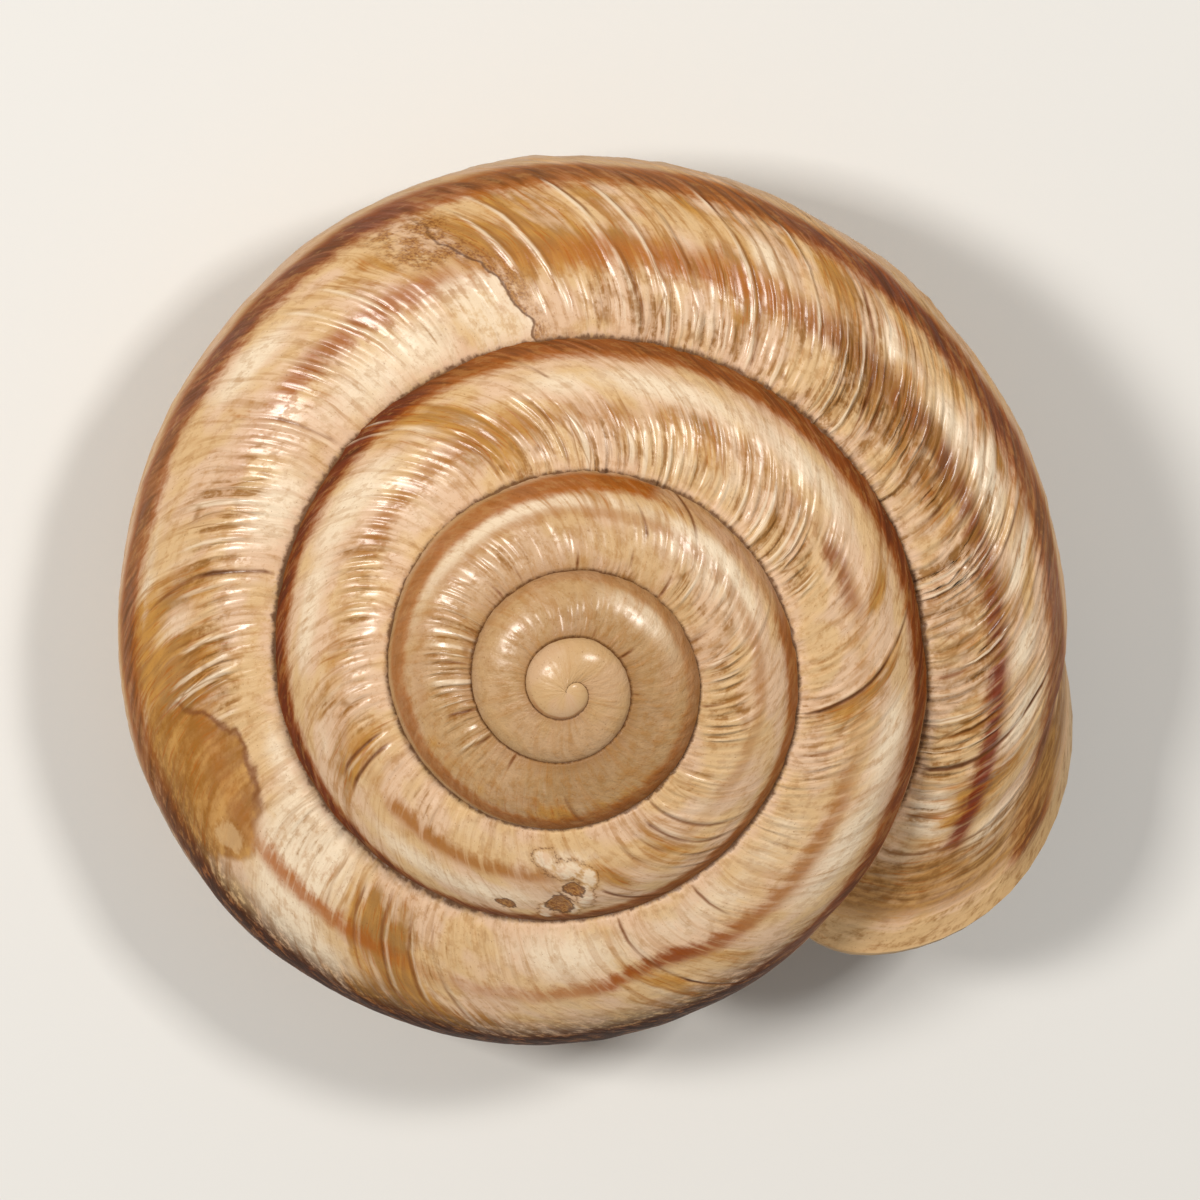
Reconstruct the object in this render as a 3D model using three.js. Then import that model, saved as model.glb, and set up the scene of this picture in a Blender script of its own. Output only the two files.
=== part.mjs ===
// Land snail shell: a low right-handed spire of five and a third whorls that ends in a flared lip.
// Millimetres, +Z up, lying at rest with the spire up. The opening faces -Y and down.
// A place on the shell is given by w, the whorls run through from the apex, and s, the way across
// the whorl: 0 at the suture, 1 at the widest line, 2 at the lowest line, 3 at the axis.
import * as THREE from 'three';

// Grid
const STEPS_PER_WHORL = 43;
const STEPS_IN_ALL = 232;
const WHORLS = STEPS_IN_ALL / STEPS_PER_WHORL;
const HOLLOW_WHORLS = 3;
const LIP_ROW_BACK = 0.012;
const TOP_COLUMNS = 5;
const UNDER_COLUMNS = 7;
const EDGE_COLUMNS = 2;
const COLUMNS = TOP_COLUMNS + UNDER_COLUMNS + 2 * EDGE_COLUMNS;

// Spiral of the widest line: radius as a cubic of w, height falling with the square of w
const RIM_RADIUS = 0.643;
const RIM_GROWTH = 0.788;
const RIM_GROWTH_SQUARE = 0.472;
const RIM_GROWTH_CUBE = 0.013;
const RIM_START_SPAN = 0.10;
const APEX_SPAN = 0.06;
const SPIRE_FALL = 0.405;
const APEX_RISE = 0.55;
const SWELLING = 0.55;
const SWELLING_AT = 4.66;
const SWELLING_SPAN = 0.17;
const BULGE = 0.46;
const BULGE_AT = 4.93;
const BULGE_SPAN = 0.08;
const NARROWING = 1.25;
const NARROWING_FROM = 4.99;
const NARROWING_SPAN = 0.44;
const LAST_FALL = 0.9;
const LAST_FALL_SPAN = 0.16;

// Section of a whorl
const SUTURE_SLOPE = THREE.MathUtils.degToRad(-4);
const TOP_FULLNESS = 0.58;
const SIDE_FULLNESS = 0.60;
const BASE_RADIUS_SHARE = 0.55;
const BASE_DEPTH_SHARE = 0.36;
const DIMPLE_SHARE = 0.13;
const DIMPLE_OUTER = 0.50;
const DIMPLE_INNER = 0.40;
const SUTURE_AT = 0.87;
const SUTURE_START_SPAN = 0.12;
const LAST_SUTURE_AT = 1.23;

// Wall
const WALL = 0.45;
const WALL_AT_APEX = 0.10;
const WALL_PER_RADIUS = 0.05;
const WALL_AT_AXIS = 0.9;
const WALL_AT_AXIS_FROM = 2.2;
const WALL_AT_AXIS_SPAN = 0.6;
const CORNER = 0.085;
const CORNER_BLEND = 0.22;
const COLUMELLA_AT = 2.80;
const COLUMELLA_BLEND = 0.55;

// Lip
const LIP_LAG = 68 / 360;
const LIP_LAG_POWER = 1.6;
const LIP_EASE_POWER = 1.6;
const LIP_EXTRA_WALL = 0.22;
const LIP_EXTRA_SPAN = 0.06;
const LIP_FLARE = 0.85;
const LIP_FLARE_SPAN = 0.040;
const LIP_FLARE_POWER = 1.7;
const FURROW = 0.22;
const FURROW_BACK = 0.050;
const FURROW_SPAN = 0.014;
const LIP_END_TOP = 0.8;
const LIP_END_AXIS = 0.5;
const LIP_NOSE_TOP = 0.3;
const LIP_NOSE_AXIS = 0.4;
const COLUMN_EASE_SPAN = 0.12;

// Rest: the shell lies with its axis off the upright, leaning away from this bearing (from +Y to +X)
const REST_TILT = THREE.MathUtils.degToRad(10.646);
const REST_BEARING = THREE.MathUtils.degToRad(60.04);

const NORMAL_STEP = 0.001;
const FORWARD_STEP = 0.004;
const SAME_ROW = 1e-6;

function ease(t) {
  const u = THREE.MathUtils.clamp(t, 0, 1);
  return u * u * (3 - 2 * u);
}

function mix(a, b, t) {
  return a + (b - a) * t;
}

// --- Section in the half plane through the axis: x is the radius, y is the height

function hump(w, at, span) {
  return Math.exp(-(((w - at) / span) ** 2));
}

function rimRadius(w) {
  const start = RIM_RADIUS * (1 - Math.exp(-w / RIM_START_SPAN));
  const growth = w * (RIM_GROWTH + w * (RIM_GROWTH_SQUARE + w * RIM_GROWTH_CUBE));
  const swelling = SWELLING * hump(w, SWELLING_AT, SWELLING_SPAN);
  const bulge = BULGE * hump(w, BULGE_AT, BULGE_SPAN);
  const narrowing = NARROWING * ease((w - NARROWING_FROM) / NARROWING_SPAN);
  return start + growth + swelling + bulge - narrowing;
}

function rimHeight(w) {
  const apex = APEX_RISE * Math.exp(-w / RIM_START_SPAN);
  const lastFall = LAST_FALL * ease((w - WHORLS + LAST_FALL_SPAN) / LAST_FALL_SPAN);
  return apex - SPIRE_FALL * w * w - lastFall;
}

// Where the next whorl meets this one
function sutureAt(w) {
  const last = ease((w - (WHORLS - 1 - LAST_FALL_SPAN)) / LAST_FALL_SPAN);
  const grown = 1 - Math.exp(-w / SUTURE_START_SPAN);
  return grown * mix(SUTURE_AT, LAST_SUTURE_AT, last);
}

function suture(w) {
  if (w < 1) {
    return new THREE.Vector2(0, APEX_RISE);
  }
  return section(w - 1, sutureAt(w - 1));
}

function curvePoint(points, t) {
  const curve = new THREE.CubicBezierCurve(...points);
  return curve.getPoint(THREE.MathUtils.clamp(t, 0, 1));
}

function topArc(w, t) {
  const from = suture(w);
  const rim = new THREE.Vector2(rimRadius(w), rimHeight(w));
  const reach = TOP_FULLNESS * (rim.x - from.x);
  const rise = TOP_FULLNESS * (from.y - rim.y);
  const a = new THREE.Vector2(from.x + reach * Math.cos(SUTURE_SLOPE), from.y + reach * Math.sin(SUTURE_SLOPE));
  const b = new THREE.Vector2(rim.x, rim.y + rise);
  return curvePoint([from, a, b, rim], t);
}

function basePoint(w) {
  const radius = rimRadius(w);
  return new THREE.Vector2(BASE_RADIUS_SHARE * radius, rimHeight(w) - BASE_DEPTH_SHARE * radius);
}

function sideArc(w, t) {
  const rim = new THREE.Vector2(rimRadius(w), rimHeight(w));
  const base = basePoint(w);
  const a = new THREE.Vector2(rim.x, mix(rim.y, base.y, SIDE_FULLNESS));
  const b = new THREE.Vector2(mix(base.x, rim.x, SIDE_FULLNESS), base.y);
  return curvePoint([rim, a, b, base], t);
}

// Height of the closed dimple on the axis: it stays where the last whorl started
function dimpleHeight(w) {
  const start = Math.min(w, WHORLS - 1);
  return rimHeight(start) - (BASE_DEPTH_SHARE + DIMPLE_SHARE) * rimRadius(start);
}

function baseArc(w, t) {
  const base = basePoint(w);
  const dimple = new THREE.Vector2(0, dimpleHeight(w));
  const a = new THREE.Vector2(DIMPLE_OUTER * base.x, base.y);
  const b = new THREE.Vector2(DIMPLE_INNER * base.x, dimple.y);
  return curvePoint([base, a, b, dimple], t);
}

function section(w, s) {
  if (s < 1) {
    return topArc(w, s);
  }
  if (s < 2) {
    return sideArc(w, s - 1);
  }
  return baseArc(w, s - 2);
}

function sectionNormal(w, s) {
  const before = section(w, Math.max(0, s - NORMAL_STEP));
  const after = section(w, Math.min(3, s + NORMAL_STEP));
  const along = after.sub(before).normalize();
  return new THREE.Vector2(-along.y, along.x);
}

// --- Lip: the growth edge lags behind the suture, turns outward and has a furrow behind it

function slanted(w, s) {
  const rising = Math.sin((Math.PI / 2) * (Math.min(s, 2) / 2) ** LIP_LAG_POWER);
  const lag = s < 2 ? rising : 1 - (s - 2) ** 3;
  const grown = THREE.MathUtils.clamp(w - (WHORLS - 1), 0, 1) ** LIP_EASE_POWER;
  return w - LIP_LAG * lag * grown;
}

function fadeAtEnds(s, top, axis) {
  return ease(s / top) * ease((3 - s) / axis);
}

function outwardSet(w, s) {
  const back = WHORLS - w;
  const flare = LIP_FLARE * THREE.MathUtils.clamp(1 - back / LIP_FLARE_SPAN, 0, 1) ** LIP_FLARE_POWER;
  const furrow = FURROW * hump(back, FURROW_BACK, FURROW_SPAN);
  return (flare - furrow) * fadeAtEnds(s, LIP_END_TOP, LIP_END_AXIS);
}

function wallAt(w, s) {
  const plain = Math.min(WALL, WALL_AT_APEX + WALL_PER_RADIUS * rimRadius(slanted(w, s)));
  const nearLip = ease(1 - (WHORLS - w) / LIP_EXTRA_SPAN);
  const lip = LIP_EXTRA_WALL * nearLip * fadeAtEnds(s, LIP_END_TOP, LIP_END_AXIS);
  const nearAxis = ease((s - WALL_AT_AXIS_FROM) / WALL_AT_AXIS_SPAN);
  return (plain + lip) * (1 + WALL_AT_AXIS * nearAxis);
}

// --- Places in space

function onBearing(w, point) {
  const turn = 2 * Math.PI * w;
  return new THREE.Vector3(point.x * Math.sin(turn), point.x * Math.cos(turn), point.y);
}

function outside(w, s) {
  const ws = slanted(w, s);
  const point = section(ws, s);
  point.addScaledVector(sectionNormal(ws, s), outwardSet(w, s));
  return onBearing(ws, point);
}

function inside(w, s) {
  const ws = slanted(w, s);
  const depth = wallAt(w, s) - outwardSet(w, s);
  const point = section(ws, s).addScaledVector(sectionNormal(ws, s), -depth);
  const corner = section(ws - 1, sutureAt(ws - 1) + CORNER);
  const columella = section(ws - 1, COLUMELLA_AT);
  point.lerp(corner, 1 - ease(s / CORNER_BLEND));
  point.lerp(columella, ease((s - (3 - COLUMELLA_BLEND)) / COLUMELLA_BLEND));
  return onBearing(ws, point);
}

// --- Grid of points, each kept once

const positions = [];
const triangles = [];

function addPoint(point) {
  positions.push(point.x, point.y, point.z);
  return positions.length / 3 - 1;
}

function pointAt(index) {
  return new THREE.Vector3().fromArray(positions, 3 * index);
}

function addTriangle(a, b, c) {
  if (a !== b && b !== c && c !== a) {
    triangles.push(a, b, c);
  }
}

function addQuad(a, b, c, d) {
  addTriangle(a, b, c);
  addTriangle(a, c, d);
}

// Joins rows of points; flipped turns the faces the other way
function joinRows(rows, flipped) {
  for (let i = 1; i < rows.length; i += 1) {
    const [near, far] = flipped ? [rows[i], rows[i - 1]] : [rows[i - 1], rows[i]];
    for (let j = 1; j < near.length; j += 1) {
      addQuad(near[j - 1], far[j - 1], far[j], near[j]);
    }
  }
}

function evenly(from, to, count) {
  return Array.from({ length: count + 1 }, (_, i) => mix(from, to, i / count));
}

// Values of w with a row of points, from one value to another: the even steps of each whorl and one
// more, which falls close behind the lip in the last whorl
function rowPlaces(from, to) {
  const places = [];
  for (let step = 0; step <= STEPS_IN_ALL; step += 1) {
    places.push(step / STEPS_PER_WHORL);
  }
  for (let w = WHORLS - LIP_ROW_BACK; w > 0; w -= 1) {
    places.push(w);
  }
  places.sort((a, b) => a - b);
  return places.filter((w) => w > from - SAME_ROW && w < to + SAME_ROW);
}

const apex = addPoint(new THREE.Vector3(0, 0, APEX_RISE));
const dimple = addPoint(new THREE.Vector3(0, 0, dimpleHeight(WHORLS)));
const sutureIndex = new Map();
const rowKey = (w) => Math.round(w / SAME_ROW);

// Spire: the upper side of every whorl that a later whorl covers from below
function spireRow(w) {
  const columns = evenly(0, sutureAt(w), TOP_COLUMNS).slice(1);
  const first = w < 1 ? apex : sutureIndex.get(rowKey(w - 1));
  const row = columns.map((s) => (w < APEX_SPAN ? apex : addPoint(outside(w, s))));
  sutureIndex.set(rowKey(w), row.at(-1));
  return [first, ...row];
}

const spire = rowPlaces(0, WHORLS - 1).map(spireRow);

// Last whorl: the whole outside, from the suture over the base to the axis
const cornerAt = LAST_SUTURE_AT + CORNER;
const firstColumns = [
  ...evenly(0, LAST_SUTURE_AT, TOP_COLUMNS),
  ...evenly(LAST_SUTURE_AT, cornerAt, EDGE_COLUMNS).slice(1),
  ...evenly(cornerAt, COLUMELLA_AT, UNDER_COLUMNS).slice(1),
  ...evenly(COLUMELLA_AT, 3, EDGE_COLUMNS).slice(1),
];
const evenColumns = evenly(0, 3, COLUMNS);

function lastWhorlRow(w, index) {
  if (index === 0) {
    const rest = firstColumns.slice(TOP_COLUMNS + 1, -1);
    return [...spire.at(-1), ...rest.map((s) => addPoint(outside(w, s))), dimple];
  }
  const along = ease((w - (WHORLS - 1)) / COLUMN_EASE_SPAN);
  const columns = evenColumns.map((s, i) => mix(firstColumns[i], s, along)).slice(1, -1);
  return [sutureIndex.get(rowKey(w - 1)), ...columns.map((s) => addPoint(outside(w, s))), dimple];
}

const lastWhorl = rowPlaces(WHORLS - 1, WHORLS).map(lastWhorlRow);

// Hollow: its floor is the outside of the whorl before, its roof and side the inside of the wall
const hollowPlaces = rowPlaces(WHORLS - HOLLOW_WHORLS, WHORLS);
const parietalFrom = TOP_COLUMNS + EDGE_COLUMNS;

function parietalRow(w) {
  if (w > WHORLS - SAME_ROW) {
    return lastWhorl[0].slice(parietalFrom, parietalFrom + UNDER_COLUMNS + 1);
  }
  const columns = evenly(sutureAt(w - 1) + CORNER, COLUMELLA_AT, UNDER_COLUMNS);
  return columns.map((s) => addPoint(outside(w - 1, s)));
}

const parietal = hollowPlaces.map(parietalRow);
const lining = hollowPlaces.map((w, i) => {
  const row = evenColumns.slice(1, -1).map((s) => addPoint(inside(w, s)));
  return [parietal[i][0], ...row, parietal[i].at(-1)];
});

// Blind end of the hollow, flat across the whorl
function closeHollow() {
  const ring = [...parietal[0], ...lining[0].slice(1, -1).reverse()];
  const turn = 2 * Math.PI * hollowPlaces[0];
  const flat = ring.map((index) => {
    const point = pointAt(index);
    return new THREE.Vector2(point.x * Math.sin(turn) + point.y * Math.cos(turn), point.z);
  });
  const clockwise = THREE.ShapeUtils.isClockWise(flat);
  THREE.ShapeUtils.triangulateShape(flat, []).forEach((corners) => {
    const sameWay = THREE.ShapeUtils.isClockWise(corners.map((i) => flat[i])) === clockwise;
    const [a, b, c] = sameWay ? corners : [...corners].reverse();
    addTriangle(ring[a], ring[b], ring[c]);
  });
}

// Edge of the lip, rounded from the outside to the inside
function lipMiddleRow(outerRow, innerRow) {
  return evenColumns.slice(1, -1).map((s, i) => {
    const a = pointAt(outerRow[i + 1]);
    const b = pointAt(innerRow[i + 1]);
    const forward = outside(WHORLS, s).sub(outside(WHORLS - FORWARD_STEP, s)).normalize();
    const nose = 0.5 * a.distanceTo(b) * fadeAtEnds(s, LIP_NOSE_TOP, LIP_NOSE_AXIS);
    return addPoint(a.lerp(b, 0.5).addScaledVector(forward, nose));
  });
}

function closeLip() {
  const outerRow = lastWhorl.at(-1);
  const innerRow = lining.at(-1);
  const top = lastWhorl[0][TOP_COLUMNS + 1];
  const bottom = lastWhorl[0].at(-2);
  joinRows([outerRow, [top, ...lipMiddleRow(outerRow, innerRow), bottom], innerRow], false);
}

joinRows(spire, false);
joinRows(lastWhorl, false);
joinRows(parietal, false);
joinRows(lining, true);
closeHollow();
closeLip();

// --- Rest and origin

function layAtRest(geometry) {
  const level = new THREE.Vector3(Math.cos(REST_BEARING), -Math.sin(REST_BEARING), 0);
  geometry.applyMatrix4(new THREE.Matrix4().makeRotationAxis(level, REST_TILT));
  geometry.computeBoundingBox();
  const centre = geometry.boundingBox.getCenter(new THREE.Vector3());
  geometry.translate(-centre.x, -centre.y, -geometry.boundingBox.min.z);
}

const geometry = new THREE.BufferGeometry();
geometry.setAttribute('position', new THREE.Float32BufferAttribute(positions, 3));
geometry.setIndex(triangles);
layAtRest(geometry);
geometry.computeVertexNormals();

const material = new THREE.MeshStandardMaterial({ name: 'shell', color: 0xd9b98c, roughness: 0.45 });
const shell = new THREE.Mesh(geometry, material);
shell.name = 'shell';

const group = new THREE.Group();
group.name = 'land_snail_shell';
group.add(shell);

export default group;
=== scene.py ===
"""Land snail shell seen from above, lying at rest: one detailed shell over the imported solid."""

import math

import bpy
import numpy as np
from mathutils import Matrix, Vector


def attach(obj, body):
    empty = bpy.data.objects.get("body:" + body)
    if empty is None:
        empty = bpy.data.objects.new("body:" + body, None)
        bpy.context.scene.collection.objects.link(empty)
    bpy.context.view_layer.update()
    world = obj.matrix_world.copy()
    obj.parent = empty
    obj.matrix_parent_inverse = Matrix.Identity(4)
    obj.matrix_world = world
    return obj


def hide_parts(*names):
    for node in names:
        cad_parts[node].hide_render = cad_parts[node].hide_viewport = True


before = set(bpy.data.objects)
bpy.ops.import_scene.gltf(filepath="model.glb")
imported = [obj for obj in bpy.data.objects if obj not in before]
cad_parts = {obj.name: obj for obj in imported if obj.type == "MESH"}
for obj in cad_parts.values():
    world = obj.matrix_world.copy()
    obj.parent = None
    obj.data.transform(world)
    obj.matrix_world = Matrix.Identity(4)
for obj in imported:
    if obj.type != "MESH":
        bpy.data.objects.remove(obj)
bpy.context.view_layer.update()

MM = 0.001

# Form, in millimetres with the axis up: the same spiral, section, wall and lip as the solid.
# A place is given by w, the whorls run through, and s: 0 suture, 1 widest line, 2 lowest line, 3 axis.
# A growth line that leaves the suture at g whorls has come to ws whorls at s. r and z are radius and
# height, and nr and nz point out of the wall.
WHORLS = 232 / 43
RIM_RADIUS, RIM_GROWTH, RIM_GROWTH_SQUARE, RIM_GROWTH_CUBE = 0.643, 0.788, 0.472, 0.013
RIM_START_SPAN = 0.10
SPIRE_FALL = 0.405
APEX_RISE = 0.55
SWELLING, SWELLING_AT, SWELLING_SPAN = 0.55, 4.66, 0.17
BULGE, BULGE_AT, BULGE_SPAN = 0.46, 4.93, 0.08
NARROWING, NARROWING_FROM, NARROWING_SPAN = 1.25, 4.99, 0.44
LAST_FALL, LAST_FALL_SPAN = 0.9, 0.16
SUTURE_SLOPE = math.radians(-4)
TOP_FULLNESS, SIDE_FULLNESS = 0.58, 0.60
BASE_RADIUS_SHARE, BASE_DEPTH_SHARE, DIMPLE_SHARE = 0.55, 0.36, 0.13
DIMPLE_OUTER, DIMPLE_INNER = 0.50, 0.40
SUTURE_AT, SUTURE_START_SPAN, LAST_SUTURE_AT = 0.87, 0.12, 1.23
WALL, WALL_AT_APEX, WALL_PER_RADIUS = 0.45, 0.10, 0.05
WALL_AT_AXIS, WALL_AT_AXIS_FROM, WALL_AT_AXIS_SPAN = 0.9, 2.2, 0.6
CORNER, CORNER_BLEND = 0.085, 0.22
COLUMELLA_AT, COLUMELLA_BLEND = 2.80, 0.55
LIP_LAG, LIP_LAG_POWER, LIP_EASE_POWER = 68 / 360, 1.6, 1.6
LIP_EXTRA_WALL, LIP_EXTRA_SPAN = 0.22, 0.06
LIP_FLARE, LIP_FLARE_SPAN, LIP_FLARE_POWER = 0.85, 0.040, 1.7
FURROW, FURROW_BACK, FURROW_SPAN = 0.22, 0.050, 0.014
LIP_END_TOP, LIP_END_AXIS, LIP_NOSE_TOP, LIP_NOSE_AXIS = 0.8, 0.5, 0.3, 0.4
REST_TILT, REST_BEARING = math.radians(10.646), math.radians(60.04)
REST_SHIFT = (-2.93409, -2.32174, 16.57719)

# Grid
RUN_STEPS = 6000
ROW_STEP = 0.085
SMOOTH_AT_LIP, SMOOTH_AT_AXIS, SMOOTH_AT_APEX = 0.02, 0.6, 0.3
ROWS_START = 0.02
BODY_FROM = 4.12
TOP_COLUMNS = 19
UNDER_COLUMNS = 18
UNDER_NEXT = 0.06
TUCK_IN, TUCK_DOWN, TUCK_FULL_FROM = 0.14, 0.05, 0.6
HOLLOW_FROM = 4.25
HOLLOW_ROWS = 130
HOLLOW_ROWS_POWER = 0.8
LIP_STEPS, LIP_LOOK_BACK = 5, 0.004


def ease(t):
    u = np.clip(t, 0, 1)
    return u * u * (3 - 2 * u)


def mix(a, b, t):
    return a + (b - a) * t


def hump(w, at, span):
    return np.exp(-(((w - at) / span) ** 2))


def along(w, points):
    """Smooth value at w from a few given (w, value) points."""
    xs, ys = zip(*points)
    i = np.clip(np.searchsorted(xs, w, side="right") - 1, 0, len(xs) - 2)
    x0, x1 = np.take(xs, i), np.take(xs, i + 1)
    return mix(np.take(ys, i), np.take(ys, i + 1), ease((w - x0) / (x1 - x0)))


# Section in the half plane through the axis


def rim_radius(w):
    growth = w * (RIM_GROWTH + w * (RIM_GROWTH_SQUARE + w * RIM_GROWTH_CUBE))
    lumps = SWELLING * hump(w, SWELLING_AT, SWELLING_SPAN) + BULGE * hump(w, BULGE_AT, BULGE_SPAN)
    narrowing = NARROWING * ease((w - NARROWING_FROM) / NARROWING_SPAN)
    return RIM_RADIUS * (1 - np.exp(-w / RIM_START_SPAN)) + growth + lumps - narrowing


def rim_height(w):
    last_fall = LAST_FALL * ease((w - WHORLS + LAST_FALL_SPAN) / LAST_FALL_SPAN)
    return APEX_RISE * np.exp(-w / RIM_START_SPAN) - SPIRE_FALL * w * w - last_fall


def suture_at(w):
    last = ease((w - (WHORLS - 1 - LAST_FALL_SPAN)) / LAST_FALL_SPAN)
    return (1 - np.exp(-w / SUTURE_START_SPAN)) * mix(SUTURE_AT, LAST_SUTURE_AT, last)


def suture(w):
    radius, height = np.zeros_like(w), np.full_like(w, APEX_RISE)
    later = w >= 1
    if np.any(later):
        radius[later], height[later] = section(w[later] - 1, suture_at(w[later] - 1))
    return radius, height


def bezier(a, b, c, d, t):
    u = 1 - t
    return [u**3 * p + 3 * u * u * t * q + 3 * u * t * t * r + t**3 * v for p, q, r, v in zip(a, b, c, d)]


def section(w, s):
    """Radius and height of the outside, without the lip's flare and the wrinkles."""
    w, s = (np.array(v, float) for v in np.broadcast_arrays(w, s))
    radius, height = np.zeros_like(w), np.zeros_like(w)
    rim_r, rim_z = rim_radius(w), rim_height(w)
    base_r, base_z = BASE_RADIUS_SHARE * rim_r, rim_z - BASE_DEPTH_SHARE * rim_r
    start = np.minimum(w, WHORLS - 1)
    dimple_z = rim_height(start) - (BASE_DEPTH_SHARE + DIMPLE_SHARE) * rim_radius(start)
    top, side, under = s < 1, (s >= 1) & (s < 2), s >= 2

    if np.any(top):
        from_r, from_z = suture(w[top])
        r, z, t = rim_r[top], rim_z[top], np.clip(s[top], 0, 1)
        reach = TOP_FULLNESS * (r - from_r)
        a = (from_r + reach * math.cos(SUTURE_SLOPE), from_z + reach * math.sin(SUTURE_SLOPE))
        b = (r, z + TOP_FULLNESS * (from_z - z))
        radius[top], height[top] = bezier((from_r, from_z), a, b, (r, z), t)
    if np.any(side):
        r, z, br, bz = rim_r[side], rim_z[side], base_r[side], base_z[side]
        a, b = (r, mix(z, bz, SIDE_FULLNESS)), (mix(br, r, SIDE_FULLNESS), bz)
        radius[side], height[side] = bezier((r, z), a, b, (br, bz), s[side] - 1)
    if np.any(under):
        br, bz, dz = base_r[under], base_z[under], dimple_z[under]
        a, b = (DIMPLE_OUTER * br, bz), (DIMPLE_INNER * br, dz)
        radius[under], height[under] = bezier((br, bz), a, b, (0 * br, dz), np.clip(s[under] - 2, 0, 1))
    return radius, height


def section_normal(w, s, step=1e-3):
    r0, z0 = section(w, np.maximum(0, s - step))
    r1, z1 = section(w, np.minimum(3, s + step))
    length = np.hypot(r1 - r0, z1 - z0) + 1e-12
    return -(z1 - z0) / length, (r1 - r0) / length


# Growth lines: they lean back from the suture, and end in the shape of the lip

# How far they lean, by whorl
LEAN = [
    (0.0, 0.01), (1.5, 0.03), (2.5, 0.04), (3.5, 0.08), (4.3, 0.08), (4.42, 0.07), (4.6, 0.075),
    (4.75, 0.055), (4.9, 0.05), (5.03, 0.03), (5.3, 0.02),
]
PLAIN_LAG, PLAIN_LAG_MIDDLE, PLAIN_LAG_POWER = 1.45, 1.15, 1.3


def lip_lag(s):
    rising = np.sin(0.5 * np.pi * (np.minimum(s, 2) / 2) ** LIP_LAG_POWER)
    return LIP_LAG * np.where(s < 2, rising, 1 - np.clip(s - 2, 0, 1) ** 3)


def growth_lag(g, s):
    to_lip = np.clip(g - (WHORLS - 1), 0, 1) ** LIP_EASE_POWER
    plain = PLAIN_LAG * np.clip(np.sin(np.pi * (s / 3) ** PLAIN_LAG_MIDDLE), 0, 1) ** PLAIN_LAG_POWER
    return to_lip * lip_lag(s) + (1 - to_lip) * along(g, LEAN) * plain


def fade_at_ends(s, top, axis):
    return ease(s / top) * ease((3 - s) / axis)


def outward_set(back, s):
    flare = LIP_FLARE * np.clip(1 - back / LIP_FLARE_SPAN, 0, 1) ** LIP_FLARE_POWER
    furrow = FURROW * hump(back, FURROW_BACK, FURROW_SPAN)
    return (flare - furrow) * fade_at_ends(s, LIP_END_TOP, LIP_END_AXIS)


def wall_at(w, ws, s):
    plain = np.minimum(WALL, WALL_AT_APEX + WALL_PER_RADIUS * rim_radius(ws))
    near_lip = ease(1 - (WHORLS - w) / LIP_EXTRA_SPAN)
    lip = LIP_EXTRA_WALL * near_lip * fade_at_ends(s, LIP_END_TOP, LIP_END_AXIS)
    return (plain + lip) * (1 + WALL_AT_AXIS * ease((s - WALL_AT_AXIS_FROM) / WALL_AT_AXIS_SPAN))


def on_bearing(w, radius, height):
    turn = 2 * np.pi * w
    return np.stack([radius * np.sin(turn), radius * np.cos(turn), height], axis=-1)


# Relief of the outside, in millimetres along the normal

LONGEST_RUN = 300
FINE_SPACING, BROAD_SPACING, UNEVENNESS = 0.50, 1.05, 0.6
FINE_HEIGHT, BROAD_HEIGHT = 0.11, 0.06
WANDERING = [(0.20, 3.2, 3.0, 3), (0.06, 0.9, 1.4, 4)]
PATCHINESS = [(0.9, 1.7, 1.1, 5)]
DASHES = [(1.2, 0.6, 0.9, 13)]
GRANULES = [(0.045, 0.34, 0.6, 16)]
SWELLS = [(0.075, 3.1, 2.4, 6), (0.040, 1.3, 1.1, 7)]
CRIMPS = [(0.07, 0.9, 1, 14), (0.04, 0.4, 1, 15)]
SWELL_BY_WHORL = [(0, 0), (1.0, 0.1), (2.5, 0.6), (4.0, 1.0)]
SHORT_WRINKLE, SHORT_WRINKLE_FADE = 0.22, 0.15
# The ridge before each growth rest is painted pale, partly as a painted highlight on it.
RIDGE_BEFORE, RIDGE_WIDTH, RIDGE_PALE_AND_HIGHLIGHT, GROOVE_SHARE = 0.26, 0.15, 10, 0.45
CRIMP_SPAN = 0.05
# From here on wrinkles and ribs reach far across the whorl
WRINKLED_ALL_OVER_FROM = 4.95
# From here on the grey brown, with its painted shade, keeps to the part of the whorl beside the suture
BROWN_TOP_FROM = 4.9


def value_noise(x, y, seed):
    """Smooth random value from -1 to 1 over a lattice of unit cells."""
    table = np.random.default_rng(seed).uniform(-1, 1, 4096)
    i, j = np.floor(x).astype(int), np.floor(y).astype(int)
    u, v = ease(x - i), ease(y - j)

    def corner(a, b):
        return table[(a * 1619 + b * 31337) % 4096]

    near = mix(corner(i, j), corner(i + 1, j), u)
    far = mix(corner(i, j + 1), corner(i + 1, j + 1), u)
    return mix(near, far, v)


def noises(run, down, recipe):
    """Sum of smooth noises, each given as height, length along the run, length down the wall and seed."""
    return sum(height * value_noise(run / run_length, down / down_length, seed)
               for height, run_length, down_length, seed in recipe)


def ribs(run, spacing, uneven, seed):
    """Low overlapping ribs along the run: steep on one side, with narrow grooves between."""
    draw = np.random.default_rng(seed)
    count = int(LONGEST_RUN / spacing)
    places = np.cumsum(spacing * (1 + uneven * draw.uniform(-1, 1, count)))
    heights = draw.uniform(0.25, 1, count)
    k = np.clip(np.searchsorted(places, run) - 1, 0, count - 2)
    u = np.clip((run - places[k]) / (places[k + 1] - places[k]), 0, 1)
    return heights[k] * np.sin(np.pi * u**0.7) ** 0.8


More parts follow.
